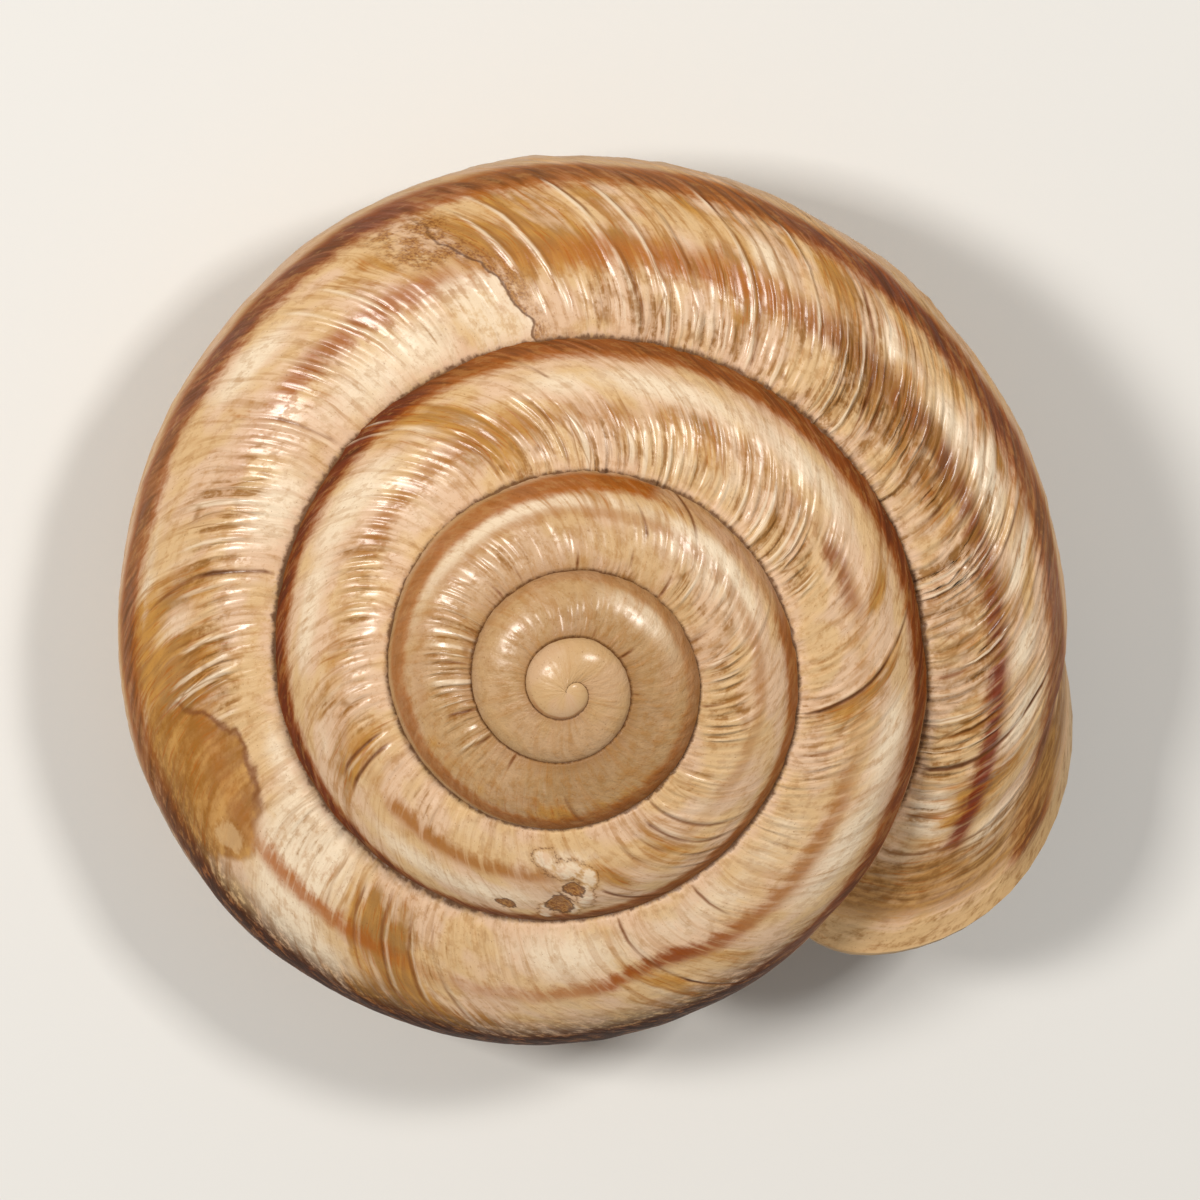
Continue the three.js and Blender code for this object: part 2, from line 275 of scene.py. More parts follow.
# How coarse the short wrinkles beside the suture are, by whorl
COARSENESS = [
    (0.0, 0.0), (1.4, 0.1), (1.75, 0.2), (1.95, 0.2), (2.1, 0.4), (2.3, 0.35), (2.55, 0.45), (2.72, 0.8),
    (2.9, 0.9), (2.97, 0.3), (3.05, 0.9), (3.25, 1.0), (3.36, 0.5), (3.5, 0.35), (3.7, 0.4), (3.74, 1.0),
    (3.82, 0.8), (3.9, 0.7), (3.97, 0.8), (4.02, 1.0), (4.19, 1.1), (4.24, 0.5), (4.3, 0.5), (4.34, 0.6),
    (4.4, 0.2), (4.54, 0.25), (4.58, 0.7), (4.63, 0.3), (4.71, 0.4), (4.74, 1.0), (4.79, 1.2),
    (4.805, 0.9), (4.86, 1.2), (4.88, 0.4), (4.97, 0.35), (4.99, 0.5), (5.08, 0.9), (5.12, 1.8),
    (5.21, 1.9), (5.24, 1.3), (5.32, 0.8), (5.34, 0.3), (5.395, 0.3),
]
# Growth rests: whorl at the suture, from and to across, depth, how dark, ridge before it
RESTS = [
    (2.08, 0.0, 0.22, 0.04, 0.9, 0.0), (2.17, 0.0, 0.26, 0.04, 0.9, 0.0),
    (2.27, 0.0, 0.22, 0.04, 0.8, 0.0), (2.6, 0.0, 0.24, 0.05, 0.9, 0.0),
    (2.66, 0.0, 0.3, 0.05, 0.8, 0.02), (2.71, 0.0, 0.35, 0.05, 0.9, 0.03),
    (2.78, 0.0, 0.3, 0.05, 0.9, 0.03), (2.83, 0.0, 0.25, 0.05, 0.9, 0.02),
    (2.9, 0.0, 0.32, 0.05, 0.9, 0.02), (2.94, 0.0, 0.25, 0.05, 0.7, 0.02),
    (3.02, 0.0, 0.25, 0.05, 0.9, 0.02), (3.08, 0.0, 0.3, 0.05, 0.8, 0.02),
    (3.13, 0.0, 0.26, 0.05, 0.9, 0.02), (3.2, 0.0, 0.26, 0.05, 0.8, 0.02),
    (3.28, 0.0, 0.24, 0.05, 0.8, 0.0), (2.515, 0.0, 0.8, 0.05, 0.6, 0.02),
    (3.095, 0.3, 1.0, 0.07, 0.9, 0.03), (3.15, 0.35, 1.0, 0.06, 0.9, 0.03),
    (3.25, 0.3, 0.9, 0.04, 0.4, 0.04), (3.41, 0.0, 0.9, 0.07, 0.7, 0.04),
    (3.427, 0.1, 0.9, 0.07, 0.8, 0.05), (3.443, 0.1, 0.9, 0.06, 0.5, 0.04),
    (3.46, 0.15, 0.9, 0.06, 0.5, 0.03), (3.505, 0.45, 1.0, 0.05, 0.9, 0.0),
    (3.54, 0.0, 0.25, 0.05, 0.9, 0.0), (3.695, 0.1, 0.6, 0.07, 0.9, 0.04),
    (3.706, 0.1, 0.75, 0.08, 0.9, 0.06), (3.735, 0.3, 0.8, 0.05, 0.4, 0.03),
    (3.75, 0.1, 0.5, 0.06, 0.5, 0.04), (3.935, 0.1, 0.9, 0.06, 0.6, 0.06),
    (3.95, 0.05, 1.0, 0.08, 0.7, 0.08), (3.962, 0.1, 1.0, 0.08, 0.6, 0.08),
    (3.975, 0.1, 0.9, 0.06, 0.4, 0.05), (4.005, 0.0, 0.8, 0.05, 0.5, 0.03),
    (4.03, 0.5, 1.0, 0.04, 0.7, 0.02), (4.282, 0.05, 0.8, 0.12, 1.1, 0.05),
    (4.31, 0.0, 0.7, 0.05, 0.5, 0.02), (4.42, 0.0, 0.35, 0.07, 0.8, 0.03),
    (4.47, 0.0, 0.8, 0.14, 1.1, 0.05), (4.578, 0.1, 0.8, 0.06, 0.6, 0.05),
    (4.592, 0.05, 0.8, 0.07, 0.7, 0.06), (4.606, 0.05, 0.8, 0.06, 0.7, 0.06),
    (4.62, 0.1, 0.7, 0.06, 0.6, 0.05), (4.635, 0.05, 0.5, 0.04, 0.4, 0.04),
    (4.755, 0.2, 0.8, 0.05, 0.4, 0.05), (4.772, 0.15, 0.8, 0.05, 0.4, 0.05),
    (4.797, 0.0, 0.7, 0.1, 1.2, 0.02), (4.872, 0.0, 0.55, 0.05, 0.7, 0.07),
    (4.902, 0.0, 0.6, 0.03, 0.3, 0.06), (4.925, 0.1, 0.7, 0.05, 0.5, 0.09),
    (4.938, 0.15, 0.7, 0.05, 0.4, 0.08), (4.992, 0.1, 0.75, 0.06, 0.4, 0.08),
    (5.004, 0.1, 0.8, 0.06, 0.4, 0.09), (5.034, 0.0, 0.85, 0.06, 0.7, 0.1),
    (5.048, 0.1, 0.8, 0.05, 0.4, 0.1), (5.062, 0.0, 0.7, 0.06, 0.6, 0.05),
    (5.088, 0.0, 0.85, 0.08, 0.7, 0.09), (5.103, 0.0, 0.5, 0.05, 0.6, 0.03),
    (5.118, 0.2, 0.85, 0.05, 0.4, 0.1), (5.144, 0.0, 0.75, 0.1, 1.1, 0.05),
    (5.151, 0.0, 0.4, 0.05, 0.8, 0.02), (5.178, 0.0, 0.5, 0.05, 0.6, 0.04),
    (5.196, 0.0, 0.4, 0.05, 0.7, 0.06), (5.208, 0.0, 0.6, 0.06, 0.6, 0.05),
    (5.229, 0.0, 0.6, 0.09, 1.0, 0.05), (5.236, 0.0, 0.75, 0.07, 0.9, 0.03),
    (5.262, 0.0, 0.45, 0.07, 0.9, 0.04), (5.288, 0.1, 0.7, 0.05, 0.6, 0.04),
    (5.303, 0.0, 0.75, 0.11, 1.2, 0.05), (5.326, 0.0, 0.3, 0.04, 0.6, 0.02),
    (5.345, 0.0, 1.2, 0.05, 0.5, 0.03),
]
REST_WIDTH = 0.13
# How far from the suture the short wrinkles begin, by whorl
WRINKLES_FROM = [
    (3.6, 0.0), (3.74, 0.14), (3.9, 0.14), (3.97, 0.0), (4.66, 0.0), (4.74, 0.18), (4.9, 0.2), (4.98, 0.0),
]
# Old break across the last whorl: across, whorl
BREAK = [
    (0.0, 4.986), (0.06, 4.984), (0.17, 4.979), (0.26, 4.97), (0.33, 4.968), (0.4, 4.9605), (0.48, 4.953),
    (0.57, 4.949), (0.65, 4.946), (1.0, 4.94),
]
BREAK_STEP, BREAK_HALF, BREAK_LENGTH = 0.035, 0.0008, 0.05
BREAK_END, BREAK_END_FADE = 0.72, 0.1
# Scar: whorl, across, half length, half width, height of its curled ridges and pits
SCAR = [
    (3.487, 0.47, 0.005, 0.13, 0.13), (3.5, 0.255, 0.014, 0.05, 0.11), (3.519, 0.165, 0.009, 0.05, 0.09),
    (3.482, 0.33, 0.005, 0.06, 0.1), (3.496, 0.6, 0.004, 0.08, 0.08), (3.513, 0.64, 0.004, 0.08, 0.06),
    (3.4945, 0.41, 0.007, 0.06, -0.16), (3.5045, 0.56, 0.008, 0.1, -0.16),
    (3.54, 0.59, 0.006, 0.045, -0.12),
]


def wrinkles(g, s, at, run, down):
    """Height of the short wrinkles and broad ribs, with their dark dashes, partly painted shade in the
    grooves, their pale crests, partly painted highlight, and coarseness.
    """
    fine = ribs(at, FINE_SPACING, UNEVENNESS, 11)
    broad = ribs(at, BROAD_SPACING, UNEVENNESS, 12)
    patchy = np.clip(0.8 + noises(run, down, PATCHINESS), 0.15, 1.5)
    last = ease((g - WRINKLED_ALL_OVER_FROM) / 0.1)
    from_s = along(g, WRINKLES_FROM)
    past_short = np.maximum(s - SHORT_WRINKLE - 0.5 * from_s, 0)
    near_suture = mix(0.06, 0.22, last) + 0.95 * hump(past_short, 0, SHORT_WRINKLE_FADE)
    near_suture *= mix(1.0, 0.15, ease((from_s + 0.04 - s) / 0.08) * ease(from_s / 0.05))
    under = mix(1.0, 0.3, ease((s - 1.1) / 0.5))
    level = along(g, COARSENESS)
    coarse = level * patchy * near_suture * under
    # Dashes lie in the grooves between ribs: their brown is partly painted shade.
    dash = (1 - ease(fine / 0.6)) * np.clip(0.45 + noises(at, down, DASHES), 0, 1)
    # Pale crests: partly the shell's pale ridges, partly painted highlight.
    crest = 0.75 * np.minimum(coarse, 1) * ease((fine - 0.62) / 0.25)
    height = coarse * (FINE_HEIGHT * (fine - 0.5) - 0.02 * dash + noises(at, down, GRANULES))
    height += mix(0.3, 1.0, level) * under * mix(0.4, 1.0, last) * BROAD_HEIGHT * (broad - 0.5)
    return height, dash * coarse, crest, coarse


def add_rests(height, crest, s, at, down):
    """Adds the growth rests to height, and gives back how dark each place is and how pale its crests are,
    the pale partly a painted highlight on the ridge before each rest.
    """
    rest = np.zeros_like(s)
    for place, first, end, depth, dark, ridge in RESTS:
        off = at - run_at(place) - 0.16 * value_noise(down / 1.5 + 7 * place, down * 0 + place, 9)
        strength = np.clip(0.75 + 0.7 * value_noise(down / 0.9, down * 0 + 37 * place, 8), 0.15, 1)
        strength = strength * ease((s - first) / 0.06 + 0.5) * ease((end - s) / 0.2)
        groove, bulge = hump(off, 0, REST_WIDTH), hump(off, -RIDGE_BEFORE, RIDGE_WIDTH)
        height += strength * (ridge * bulge - GROOVE_SHARE * depth * groove)
        rest = np.maximum(rest, dark * strength * groove)
        crest = np.maximum(crest, RIDGE_PALE_AND_HIGHLIGHT * ridge * strength * bulge)
    return rest, crest


def add_scar(height, ws, s):
    """Adds the scar to height, and gives back its curled ridges and its pits, from 0 to 1."""
    curl, pit = np.zeros_like(s), np.zeros_like(s)
    for place, across, half_turn, half_across, rise in SCAR:
        near = np.exp(-(((ws - place) / half_turn) ** 2) - ((s - across) / half_across) ** 2)
        height += rise * near
        if rise > 0:
            curl = np.maximum(curl, near)
        else:
            pit = np.maximum(pit, near)
    return curl, pit


def add_break(height, ws, s):
    """Adds the step of the old break to height, and gives back the whorls past it."""
    past = ws - np.interp(s, *zip(*BREAK))
    there = ease((BREAK_END - s) / BREAK_END_FADE)
    rise, decline = ease((past + BREAK_HALF) / (2 * BREAK_HALF)), ease((BREAK_LENGTH - past) / BREAK_LENGTH)
    height += BREAK_STEP * there * rise * decline
    return past


def relief(g, ws, s, run, down):
    """Height of the outside over its plain section, and how much of each mark shows as colour."""
    at = run + noises(run, down, WANDERING)
    height, dash, crest, coarse = wrinkles(g, s, at, run, down)
    rest, crest = add_rests(height, crest, s, at, down)
    swell = along(g, SWELL_BY_WHORL)
    height += swell * noises(run, down, SWELLS)
    curl, pit = add_scar(height, ws, s)
    past = add_break(height, ws, s)
    height *= mix(0.5, 1.0, ease(s / 0.06))
    height += swell * noises(run, run * 0, CRIMPS) * hump(s, 0, CRIMP_SPAN)
    values = dict(dash=dash, rest=rest, crest=crest, coarse=coarse, curl=curl, pit=pit)
    # past is 1 on the break, so that the 0 of the other grids is far from it
    values["past"] = past + 1
    return height, values


# Golden stains, each a soft patch: whorl, way across, half length, half width, strength
STAINS = [
    (4.44, 0.62, 0.03, 0.07, 0.5), (4.52, 0.58, 0.03, 0.08, 0.5), (4.42, 0.42, 0.018, 0.1, 0.4),
    (4.455, 0.45, 0.012, 0.16, 0.7), (4.58, 0.45, 0.022, 0.26, 1.0), (4.565, 0.5, 0.012, 0.3, 0.7),
    (4.605, 0.22, 0.022, 0.12, 0.7), (4.575, 0.68, 0.03, 0.1, 0.8), (4.69, 0.6, 0.03, 0.2, 1.0),
    (4.735, 0.45, 0.022, 0.3, 0.9), (4.755, 0.6, 0.022, 0.16, 0.9), (4.78, 0.38, 0.014, 0.22, 0.7),
    (4.84, 0.45, 0.03, 0.1, 0.3), (4.875, 0.22, 0.008, 0.14, 0.6), (4.925, 0.5, 0.016, 0.12, 0.6),
    (4.965, 0.45, 0.012, 0.16, 0.9), (4.95, 0.25, 0.03, 0.1, 0.4), (5.11, 0.46, 0.014, 0.12, 0.5),
    (4.99, 0.5, 0.02, 0.26, 0.65), (5.03, 0.36, 0.05, 0.1, 0.9), (5.04, 0.62, 0.05, 0.12, 0.5),
    (5.08, 0.28, 0.024, 0.16, 0.8), (5.1, 0.6, 0.02, 0.08, 0.7), (5.145, 0.42, 0.01, 0.2, 0.6),
    (5.17, 0.22, 0.04, 0.12, 0.7), (5.175, 0.6, 0.04, 0.06, 0.7), (5.23, 0.42, 0.012, 0.24, 0.6),
    (5.27, 0.26, 0.014, 0.16, 0.4), (5.3, 0.4, 0.01, 0.24, 0.6), (5.345, 0.3, 0.01, 0.3, 0.7),
    (5.315, 0.24, 0.016, 0.12, 0.9), (3.41, 0.35, 0.022, 0.35, 0.7), (3.465, 0.36, 0.01, 0.14, 0.8),
    (3.69, 0.35, 0.014, 0.24, 0.9), (3.725, 0.42, 0.014, 0.18, 0.6), (3.76, 0.28, 0.02, 0.08, 0.5),
    (3.83, 0.25, 0.05, 0.1, 0.3), (3.925, 0.5, 0.022, 0.4, 1.1), (3.955, 0.25, 0.02, 0.2, 0.6),
    (4.02, 0.3, 0.05, 0.1, 0.4), (4.1, 0.36, 0.04, 0.06, 0.7), (4.12, 0.22, 0.05, 0.08, 0.5),
    (4.215, 0.5, 0.01, 0.14, 0.6), (4.255, 0.4, 0.012, 0.24, 0.7), (4.26, 0.2, 0.03, 0.14, 0.3),
    (3.02, 0.55, 0.05, 0.12, 0.5), (3.09, 0.62, 0.016, 0.22, 0.6), (2.45, 0.55, 0.08, 0.16, 0.6),
    (2.55, 0.5, 0.06, 0.14, 0.6), (2.66, 0.48, 0.04, 0.12, 0.5),
]
# Pinkish white places, in the same way
PALES = [
    (4.42, 0.15, 0.04, 0.12, 0.5), (4.5, 0.16, 0.04, 0.14, 0.8), (4.43, 0.5, 0.04, 0.1, 0.2),
    (4.51, 0.46, 0.03, 0.1, 0.3), (4.62, 0.52, 0.024, 0.09, 1.0), (4.65, 0.1, 0.026, 0.14, 1.1),
    (4.645, 0.3, 0.02, 0.16, 1.3), (4.7, 0.07, 0.022, 0.06, 0.8), (4.78, 0.62, 0.026, 0.05, 0.6),
    (4.83, 0.1, 0.026, 0.1, 0.9), (4.87, 0.55, 0.022, 0.08, 1.1), (4.9, 0.12, 0.022, 0.12, 0.8),
    (4.935, 0.13, 0.016, 0.13, 0.8), (5.06, 0.12, 0.014, 0.08, 0.5), (5.075, 0.5, 0.01, 0.08, 0.8),
    (5.13, 0.5, 0.012, 0.1, 0.8), (5.165, 0.46, 0.014, 0.08, 0.8), (5.19, 0.5, 0.014, 0.1, 1.1),
    (5.22, 0.5, 0.008, 0.1, 0.9), (5.25, 0.48, 0.008, 0.1, 1.0), (5.275, 0.5, 0.012, 0.12, 1.0),
    (5.32, 0.5, 0.012, 0.14, 1.0), (5.32, 0.14, 0.012, 0.12, 0.9), (5.345, 0.16, 0.008, 0.14, 0.7),
    (3.5, 0.18, 0.03, 0.06, 0.8), (3.58, 0.12, 0.05, 0.1, 0.4), (3.56, 0.5, 0.05, 0.1, 0.8),
    (3.62, 0.5, 0.03, 0.1, 0.6), (3.7, 0.48, 0.012, 0.06, 0.5), (3.78, 0.5, 0.04, 0.1, 0.8),
    (3.86, 0.5, 0.04, 0.14, 0.9), (3.88, 0.12, 0.03, 0.1, 0.4), (3.99, 0.48, 0.02, 0.1, 0.6),
    (4.05, 0.5, 0.04, 0.1, 0.9), (4.14, 0.52, 0.05, 0.1, 0.8), (4.09, 0.14, 0.05, 0.1, 0.4),
    (4.28, 0.52, 0.02, 0.1, 0.8), (4.34, 0.5, 0.04, 0.12, 0.9), (4.36, 0.14, 0.04, 0.12, 0.4),
    (2.92, 0.52, 0.12, 0.1, 1.0), (3.15, 0.35, 0.1, 0.14, 0.5), (3.15, 0.52, 0.06, 0.1, 0.9),
    (2.13, 0.5, 0.08, 0.16, 1.0), (3.36, 0.3, 0.05, 0.15, 0.4), (1.0, 0.5, 0.2, 0.2, 0.3),
]

# Grey brown, by whorl: the early whorls' own colour, and from about 5.1 whorls partly painted shade beside
# the suture
GREY_BROWN_AND_SHADE = [
    (0.3, 0.0), (1.2, 0.1), (1.5, 0.35), (1.9, 0.5), (2.1, 0.6), (2.5, 0.7), (2.62, 0.4), (2.75, 0.4),
    (3.1, 0.35), (3.4, 0.1), (4.05, 0.05), (4.15, 0.2), (4.27, 0.2), (4.36, 0.2), (4.42, 0.25),
    (4.56, 0.2), (4.62, 0.12), (4.8, 0.0), (5.05, 0.05), (5.12, 0.2), (5.2, 0.3), (5.24, 0.45),
    (5.34, 0.3),
]
# Bands along the spiral: how strong, how red, the way across and half the width, each by whorl
BANDS = dict(
    mid=[
        (2.0, 0.0), (2.4, 0.15), (2.85, 0.2), (2.95, 0.5), (3.25, 0.6), (3.4, 0.3), (3.5, 0.3),
        (3.53, 0.9), (3.645, 0.95), (3.655, 0.15), (3.69, 0.4), (3.73, 0.15), (3.83, 0.3), (3.86, 0.85),
        (3.93, 0.7), (3.97, 0.35), (4.1, 0.2), (4.17, 0.3), (4.185, 0.9), (4.21, 0.8), (4.23, 0.2),
        (4.29, 0.3), (4.33, 0.75), (4.4, 0.85), (4.45, 1.0), (4.47, 1.0), (4.5, 0.7), (4.53, 0.4),
        (4.56, 0.3), (4.6, 0.85), (4.655, 0.9), (4.67, 0.2), (4.8, 0.15), (4.86, 0.3), (4.875, 0.9),
        (4.94, 0.8), (4.96, 0.3), (4.99, 0.4), (5.01, 0.75), (5.08, 0.85), (5.12, 1.0), (5.2, 1.0),
        (5.24, 1.0), (5.328, 1.0), (5.336, 0.1), (5.395, 0.0),
    ],
    mid_red=[
        (4.1, 0.0), (4.17, 0.7), (4.2, 0.5), (4.25, 0.1), (4.38, 0.1), (4.44, 0.7),
        (4.5, 0.2), (4.8, 0.0), (4.87, 0.3), (4.95, 0.3), (5.0, 0.0), (5.08, 0.1), (5.14, 0.4),
        (5.22, 0.6), (5.25, 1.0), (5.395, 1.0),
    ],
    mid_at=[
        (2.4, 0.36), (2.9, 0.42), (3.2, 0.42), (3.4, 0.34), (3.55, 0.3), (3.7, 0.28),
        (3.87, 0.265), (4.0, 0.3), (4.2, 0.33), (4.3, 0.32), (4.38, 0.34), (4.42, 0.33), (4.455, 0.28),
        (4.49, 0.35), (4.52, 0.36), (4.6, 0.32), (4.9, 0.32), (5.03, 0.34), (5.15, 0.33), (5.25, 0.32),
        (5.395, 0.32),
    ],
    mid_half=[
        (2.4, 0.04), (3.5, 0.045), (4.0, 0.045), (4.2, 0.045), (4.4, 0.042), (4.5, 0.035),
        (4.6, 0.035), (4.9, 0.045), (5.03, 0.06), (5.12, 0.06), (5.22, 0.05), (5.3, 0.045),
    ],
    low=[
        (0.3, 0.0), (0.45, 0.5), (0.65, 0.5), (0.8, 0.0), (1.7, 0.0), (2.0, 0.3), (2.25, 0.45),
        (2.4, 0.8), (2.55, 0.75), (2.75, 0.65), (2.9, 0.75), (3.065, 1.0), (3.08, 0.3), (3.19, 0.4),
        (3.22, 0.9), (3.4, 0.9), (3.5, 0.9), (3.62, 0.95), (3.65, 1.0), (4.0, 0.95), (4.25, 1.0),
        (4.395, 0.95), (4.66, 1.0), (4.7, 0.85), (5.0, 0.9), (5.15, 0.95), (5.24, 0.8), (5.34, 1.0),
        (5.36, 0.7), (5.395, 0.2),
    ],
    low_red=[
        (1.8, 0.0), (2.5, 0.1), (2.75, 0.0), (2.9, 0.0), (3.4, 0.1), (3.48, 0.5),
        (3.56, 0.9), (3.72, 0.9), (3.76, 0.8), (3.9, 1.0), (3.95, 0.2), (4.08, 0.3), (4.2, 0.7),
        (4.3, 0.6), (4.6, 0.8), (4.72, 0.2), (4.8, 0.4), (4.86, 0.9), (4.93, 1.0), (4.97, 0.2),
        (5.05, 0.2), (5.1, 0.8), (5.2, 0.8), (5.395, 1.0),
    ],
    low_at=[
        (2.0, 0.76), (2.4, 0.72), (2.7, 0.66), (2.95, 0.7), (3.1, 0.76), (3.3, 0.79),
        (3.45, 0.79), (3.58, 0.8), (3.66, 0.79), (3.75, 0.8), (4.0, 0.8), (4.3, 0.8), (4.42, 0.8),
        (4.6, 0.78), (4.75, 0.77), (4.9, 0.77), (5.0, 0.79), (5.05, 0.8), (5.12, 0.76), (5.25, 0.76),
        (5.31, 0.78), (5.345, 0.88), (5.37, 1.0),
    ],
    low_half=[
        (2.0, 0.08), (2.4, 0.14), (2.6, 0.09), (3.0, 0.1), (3.3, 0.09), (3.45, 0.085),
        (3.58, 0.09), (3.66, 0.1), (3.9, 0.11), (4.3, 0.105), (4.45, 0.105), (4.8, 0.085), (5.0, 0.085),
        (5.3, 0.095), (5.36, 0.11),
    ],
)


def patches(g, s, places):
    total = np.zeros_like(s)
    for w, across, half_length, half_width, strength in places:
        centre = w + growth_lag(np.array(w), np.array(across))
        total += strength * np.exp(-(((g - centre) / half_length) ** 2) - ((s - across) / half_width) ** 2)
    return total


# Arc length along the widest line, as a table in g
g_table = np.linspace(0, WHORLS, RUN_STEPS)
run_steps = 2 * np.pi * rim_radius((g_table[1:] + g_table[:-1]) / 2) * np.diff(g_table)
run_table = np.concatenate([[0], np.cumsum(run_steps)])


def run_at(g):
    return np.interp(g, g_table, run_table)


def rows_for(first, last):
    """Values of g with a row every ROW_STEP along the widest line."""
    count = int(round((run_at(last) - run_at(first)) / ROW_STEP))
    return np.interp(np.linspace(run_at(first), run_at(last), count + 1), run_table, g_table)


# Grid of points with what the material needs to know about each

NAMES = ("growth", "turn", "across", "run", "down", "dash", "rest", "crest", "coarse", "grey_brown_and_shade", "inside",
         "stain", "pale", "curl", "pit", "past", *BANDS)
points, faces = [], []
facts = {name: [] for name in NAMES}


def add_grid(place, **values):
    """Adds an array of points, rows first, and gives back their numbers."""
    shape = place.shape[:2]
    numbers = sum(map(len, points)) + np.arange(shape[0] * shape[1]).reshape(shape)
    points.append(place.reshape(-1, 3))
    for name in NAMES:
        facts[name].append(np.broadcast_to(values.get(name, 0.0), shape).reshape(-1))
    return numbers


def join(numbers, flipped=False):
    a, b, c, d = numbers[:-1, :-1], numbers[1:, :-1], numbers[1:, 1:], numbers[:-1, 1:]
    quads = np.stack([a, d, c, b] if flipped else [a, b, c, d], axis=-1)
    faces.append(quads.reshape(-1, 4))


def outside_rows(g, columns):
    """Rows of the outside with its relief. columns is the same shape as the rows, one s for each point."""
    g = np.broadcast_to(g[:, None], columns.shape)
    ws = np.maximum(g - growth_lag(g, columns), 0)
    r, z = section(ws, columns)
    plain = on_bearing(ws, r, z)
    steps = np.linalg.norm(np.diff(plain, axis=1), axis=-1)
    down = np.concatenate([np.zeros((len(g), 1)), np.cumsum(steps, axis=1)], axis=1)
    run = run_at(g)
    nr, nz = section_normal(ws, columns)
    height, values = relief(g, ws, columns, run, down)
    back = WHORLS - g
    height *= ease(back / SMOOTH_AT_LIP) * ease((3 - columns) / SMOOTH_AT_AXIS) * ease(g / SMOOTH_AT_APEX)
    out = outward_set(back, columns) + height
    values.update(growth=g, turn=ws, across=columns, run=run, down=down)
    values.update(stain=patches(g, columns, STAINS), pale=patches(g, columns, PALES))
    outer_share = mix(0.75, 0.1, ease((ws - BROWN_TOP_FROM) / 0.1))
    values["grey_brown_and_shade"] = along(ws, GREY_BROWN_AND_SHADE) * mix(1.0, outer_share, ease((columns - 0.2) / 0.2))
    values.update({name: along(ws, by_whorl) for name, by_whorl in BANDS.items()})
    return on_bearing(ws, r + nr * out, z + nz * out), values


def with_tuck(place, values):
    """Puts one more column under the whorl before, so that the suture stays closed."""
    first = place[:, :1]
    flat = np.linalg.norm(first[..., :2], axis=-1, keepdims=True)
    share = ease(flat / TUCK_FULL_FROM)
    inward = -first[..., :2] / np.maximum(flat, 1e-6) * (TUCK_IN * share)
    tuck = np.concatenate([inward, -TUCK_DOWN * share], axis=-1)
    place = np.concatenate([first + tuck, place], axis=1)
    values = {k: np.concatenate([v[:, :1], v], axis=1) for k, v in values.items()}
    return place, values


def columns_for(g, top, under=0):
    reach = suture_at(np.minimum(g, WHORLS - 1)) + UNDER_NEXT
    above = reach[:, None] * np.linspace(0, 1, top + 1)[None, :]
    if not under:
        return above
    below = reach[:, None] + (3 - reach[:, None]) * np.linspace(0, 1, under + 1)[None, 1:]
    return np.concatenate([above, below], axis=1)


def add_outside(first, last, under=0):
    """Outside between two whorls, with under columns below. Gives back s and place of its last row."""
    g = rows_for(first, last)
    columns = columns_for(g, TOP_COLUMNS, under)
    place, values = outside_rows(g, columns)
    tucked, tucked_values = with_tuck(place, values)
    join(add_grid(tucked, **tucked_values))
    return columns[-1], place[-1]


def add_hollow(columns):
    """Inside of the wall, its ends on the whorl before. Gives back the place of its last row."""
    w = mix(HOLLOW_FROM, WHORLS, np.linspace(0, 1, HOLLOW_ROWS + 1) ** HOLLOW_ROWS_POWER)[:, None]
    w, s = np.broadcast_arrays(w, columns)
    ws = w - lip_lag(s) * np.clip(w - (WHORLS - 1), 0, 1) ** LIP_EASE_POWER
    r, z = section(ws, s)
    nr, nz = section_normal(ws, s)
    depth = wall_at(w, ws, s) - outward_set(WHORLS - w, s)
    corner = section(ws - 1, suture_at(ws - 1) + CORNER)
    columella = section(ws - 1, COLUMELLA_AT + 0 * ws)
    to_corner = 1 - ease(s / CORNER_BLEND)
    to_axis = ease((s - (3 - COLUMELLA_BLEND)) / COLUMELLA_BLEND)
    r = mix(mix(r - nr * depth, corner[0], to_corner), columella[0], to_axis)
    z = mix(mix(z - nz * depth, corner[1], to_corner), columella[1], to_axis)
    place = on_bearing(ws, r, z)
    join(add_grid(place, growth=w, turn=ws, across=s, run=run_at(w), inside=1.0), flipped=True)
    return place[-1]


def add_lip(s, outer, inner):
    """Edge of the lip, rounded from the outside to the inside."""
    ws = WHORLS - lip_lag(s)
    before = WHORLS - LIP_LOOK_BACK - lip_lag(s)
    forward = on_bearing(ws, *section(ws, s)) - on_bearing(before, *section(before, s))
    forward /= np.maximum(np.linalg.norm(forward, axis=-1, keepdims=True), 1e-9)
    half = 0.5 * np.linalg.norm(outer - inner, axis=-1, keepdims=True)
    nose = fade_at_ends(s, LIP_NOSE_TOP, LIP_NOSE_AXIS)[:, None]
    rings = []
    for step in range(LIP_STEPS + 1):
        angle = math.pi * step / LIP_STEPS
        across_wall = (outer + inner) / 2 + (outer - inner) / 2 * math.cos(angle)
        rings.append(across_wall + forward * half * nose * math.sin(angle))
    share = np.linspace(0, 1, LIP_STEPS + 1)[:, None]
    join(add_grid(np.stack(rings), growth=WHORLS, turn=ws, across=s, run=run_at(WHORLS), inside=share))


add_outside(ROWS_START, BODY_FROM)
lip_columns, lip_outside = add_outside(BODY_FROM, WHORLS, UNDER_COLUMNS)
add_lip(lip_columns, lip_outside, add_hollow(lip_columns))

# Rest, mesh and piece

tilt_axis = Vector((math.cos(REST_BEARING), -math.sin(REST_BEARING), 0))
REST = Matrix.Rotation(REST_TILT, 3, tilt_axis)


def to_frame(place):
    """From the shell's own axis to the part's frame, in metres."""
    return (np.asarray(place) @ np.array(REST).T + np.array(REST_SHIFT)) * MM


def new_object(name, data):
    made = bpy.data.objects.new(name, data)
    bpy.context.scene.collection.objects.link(made)
    return made


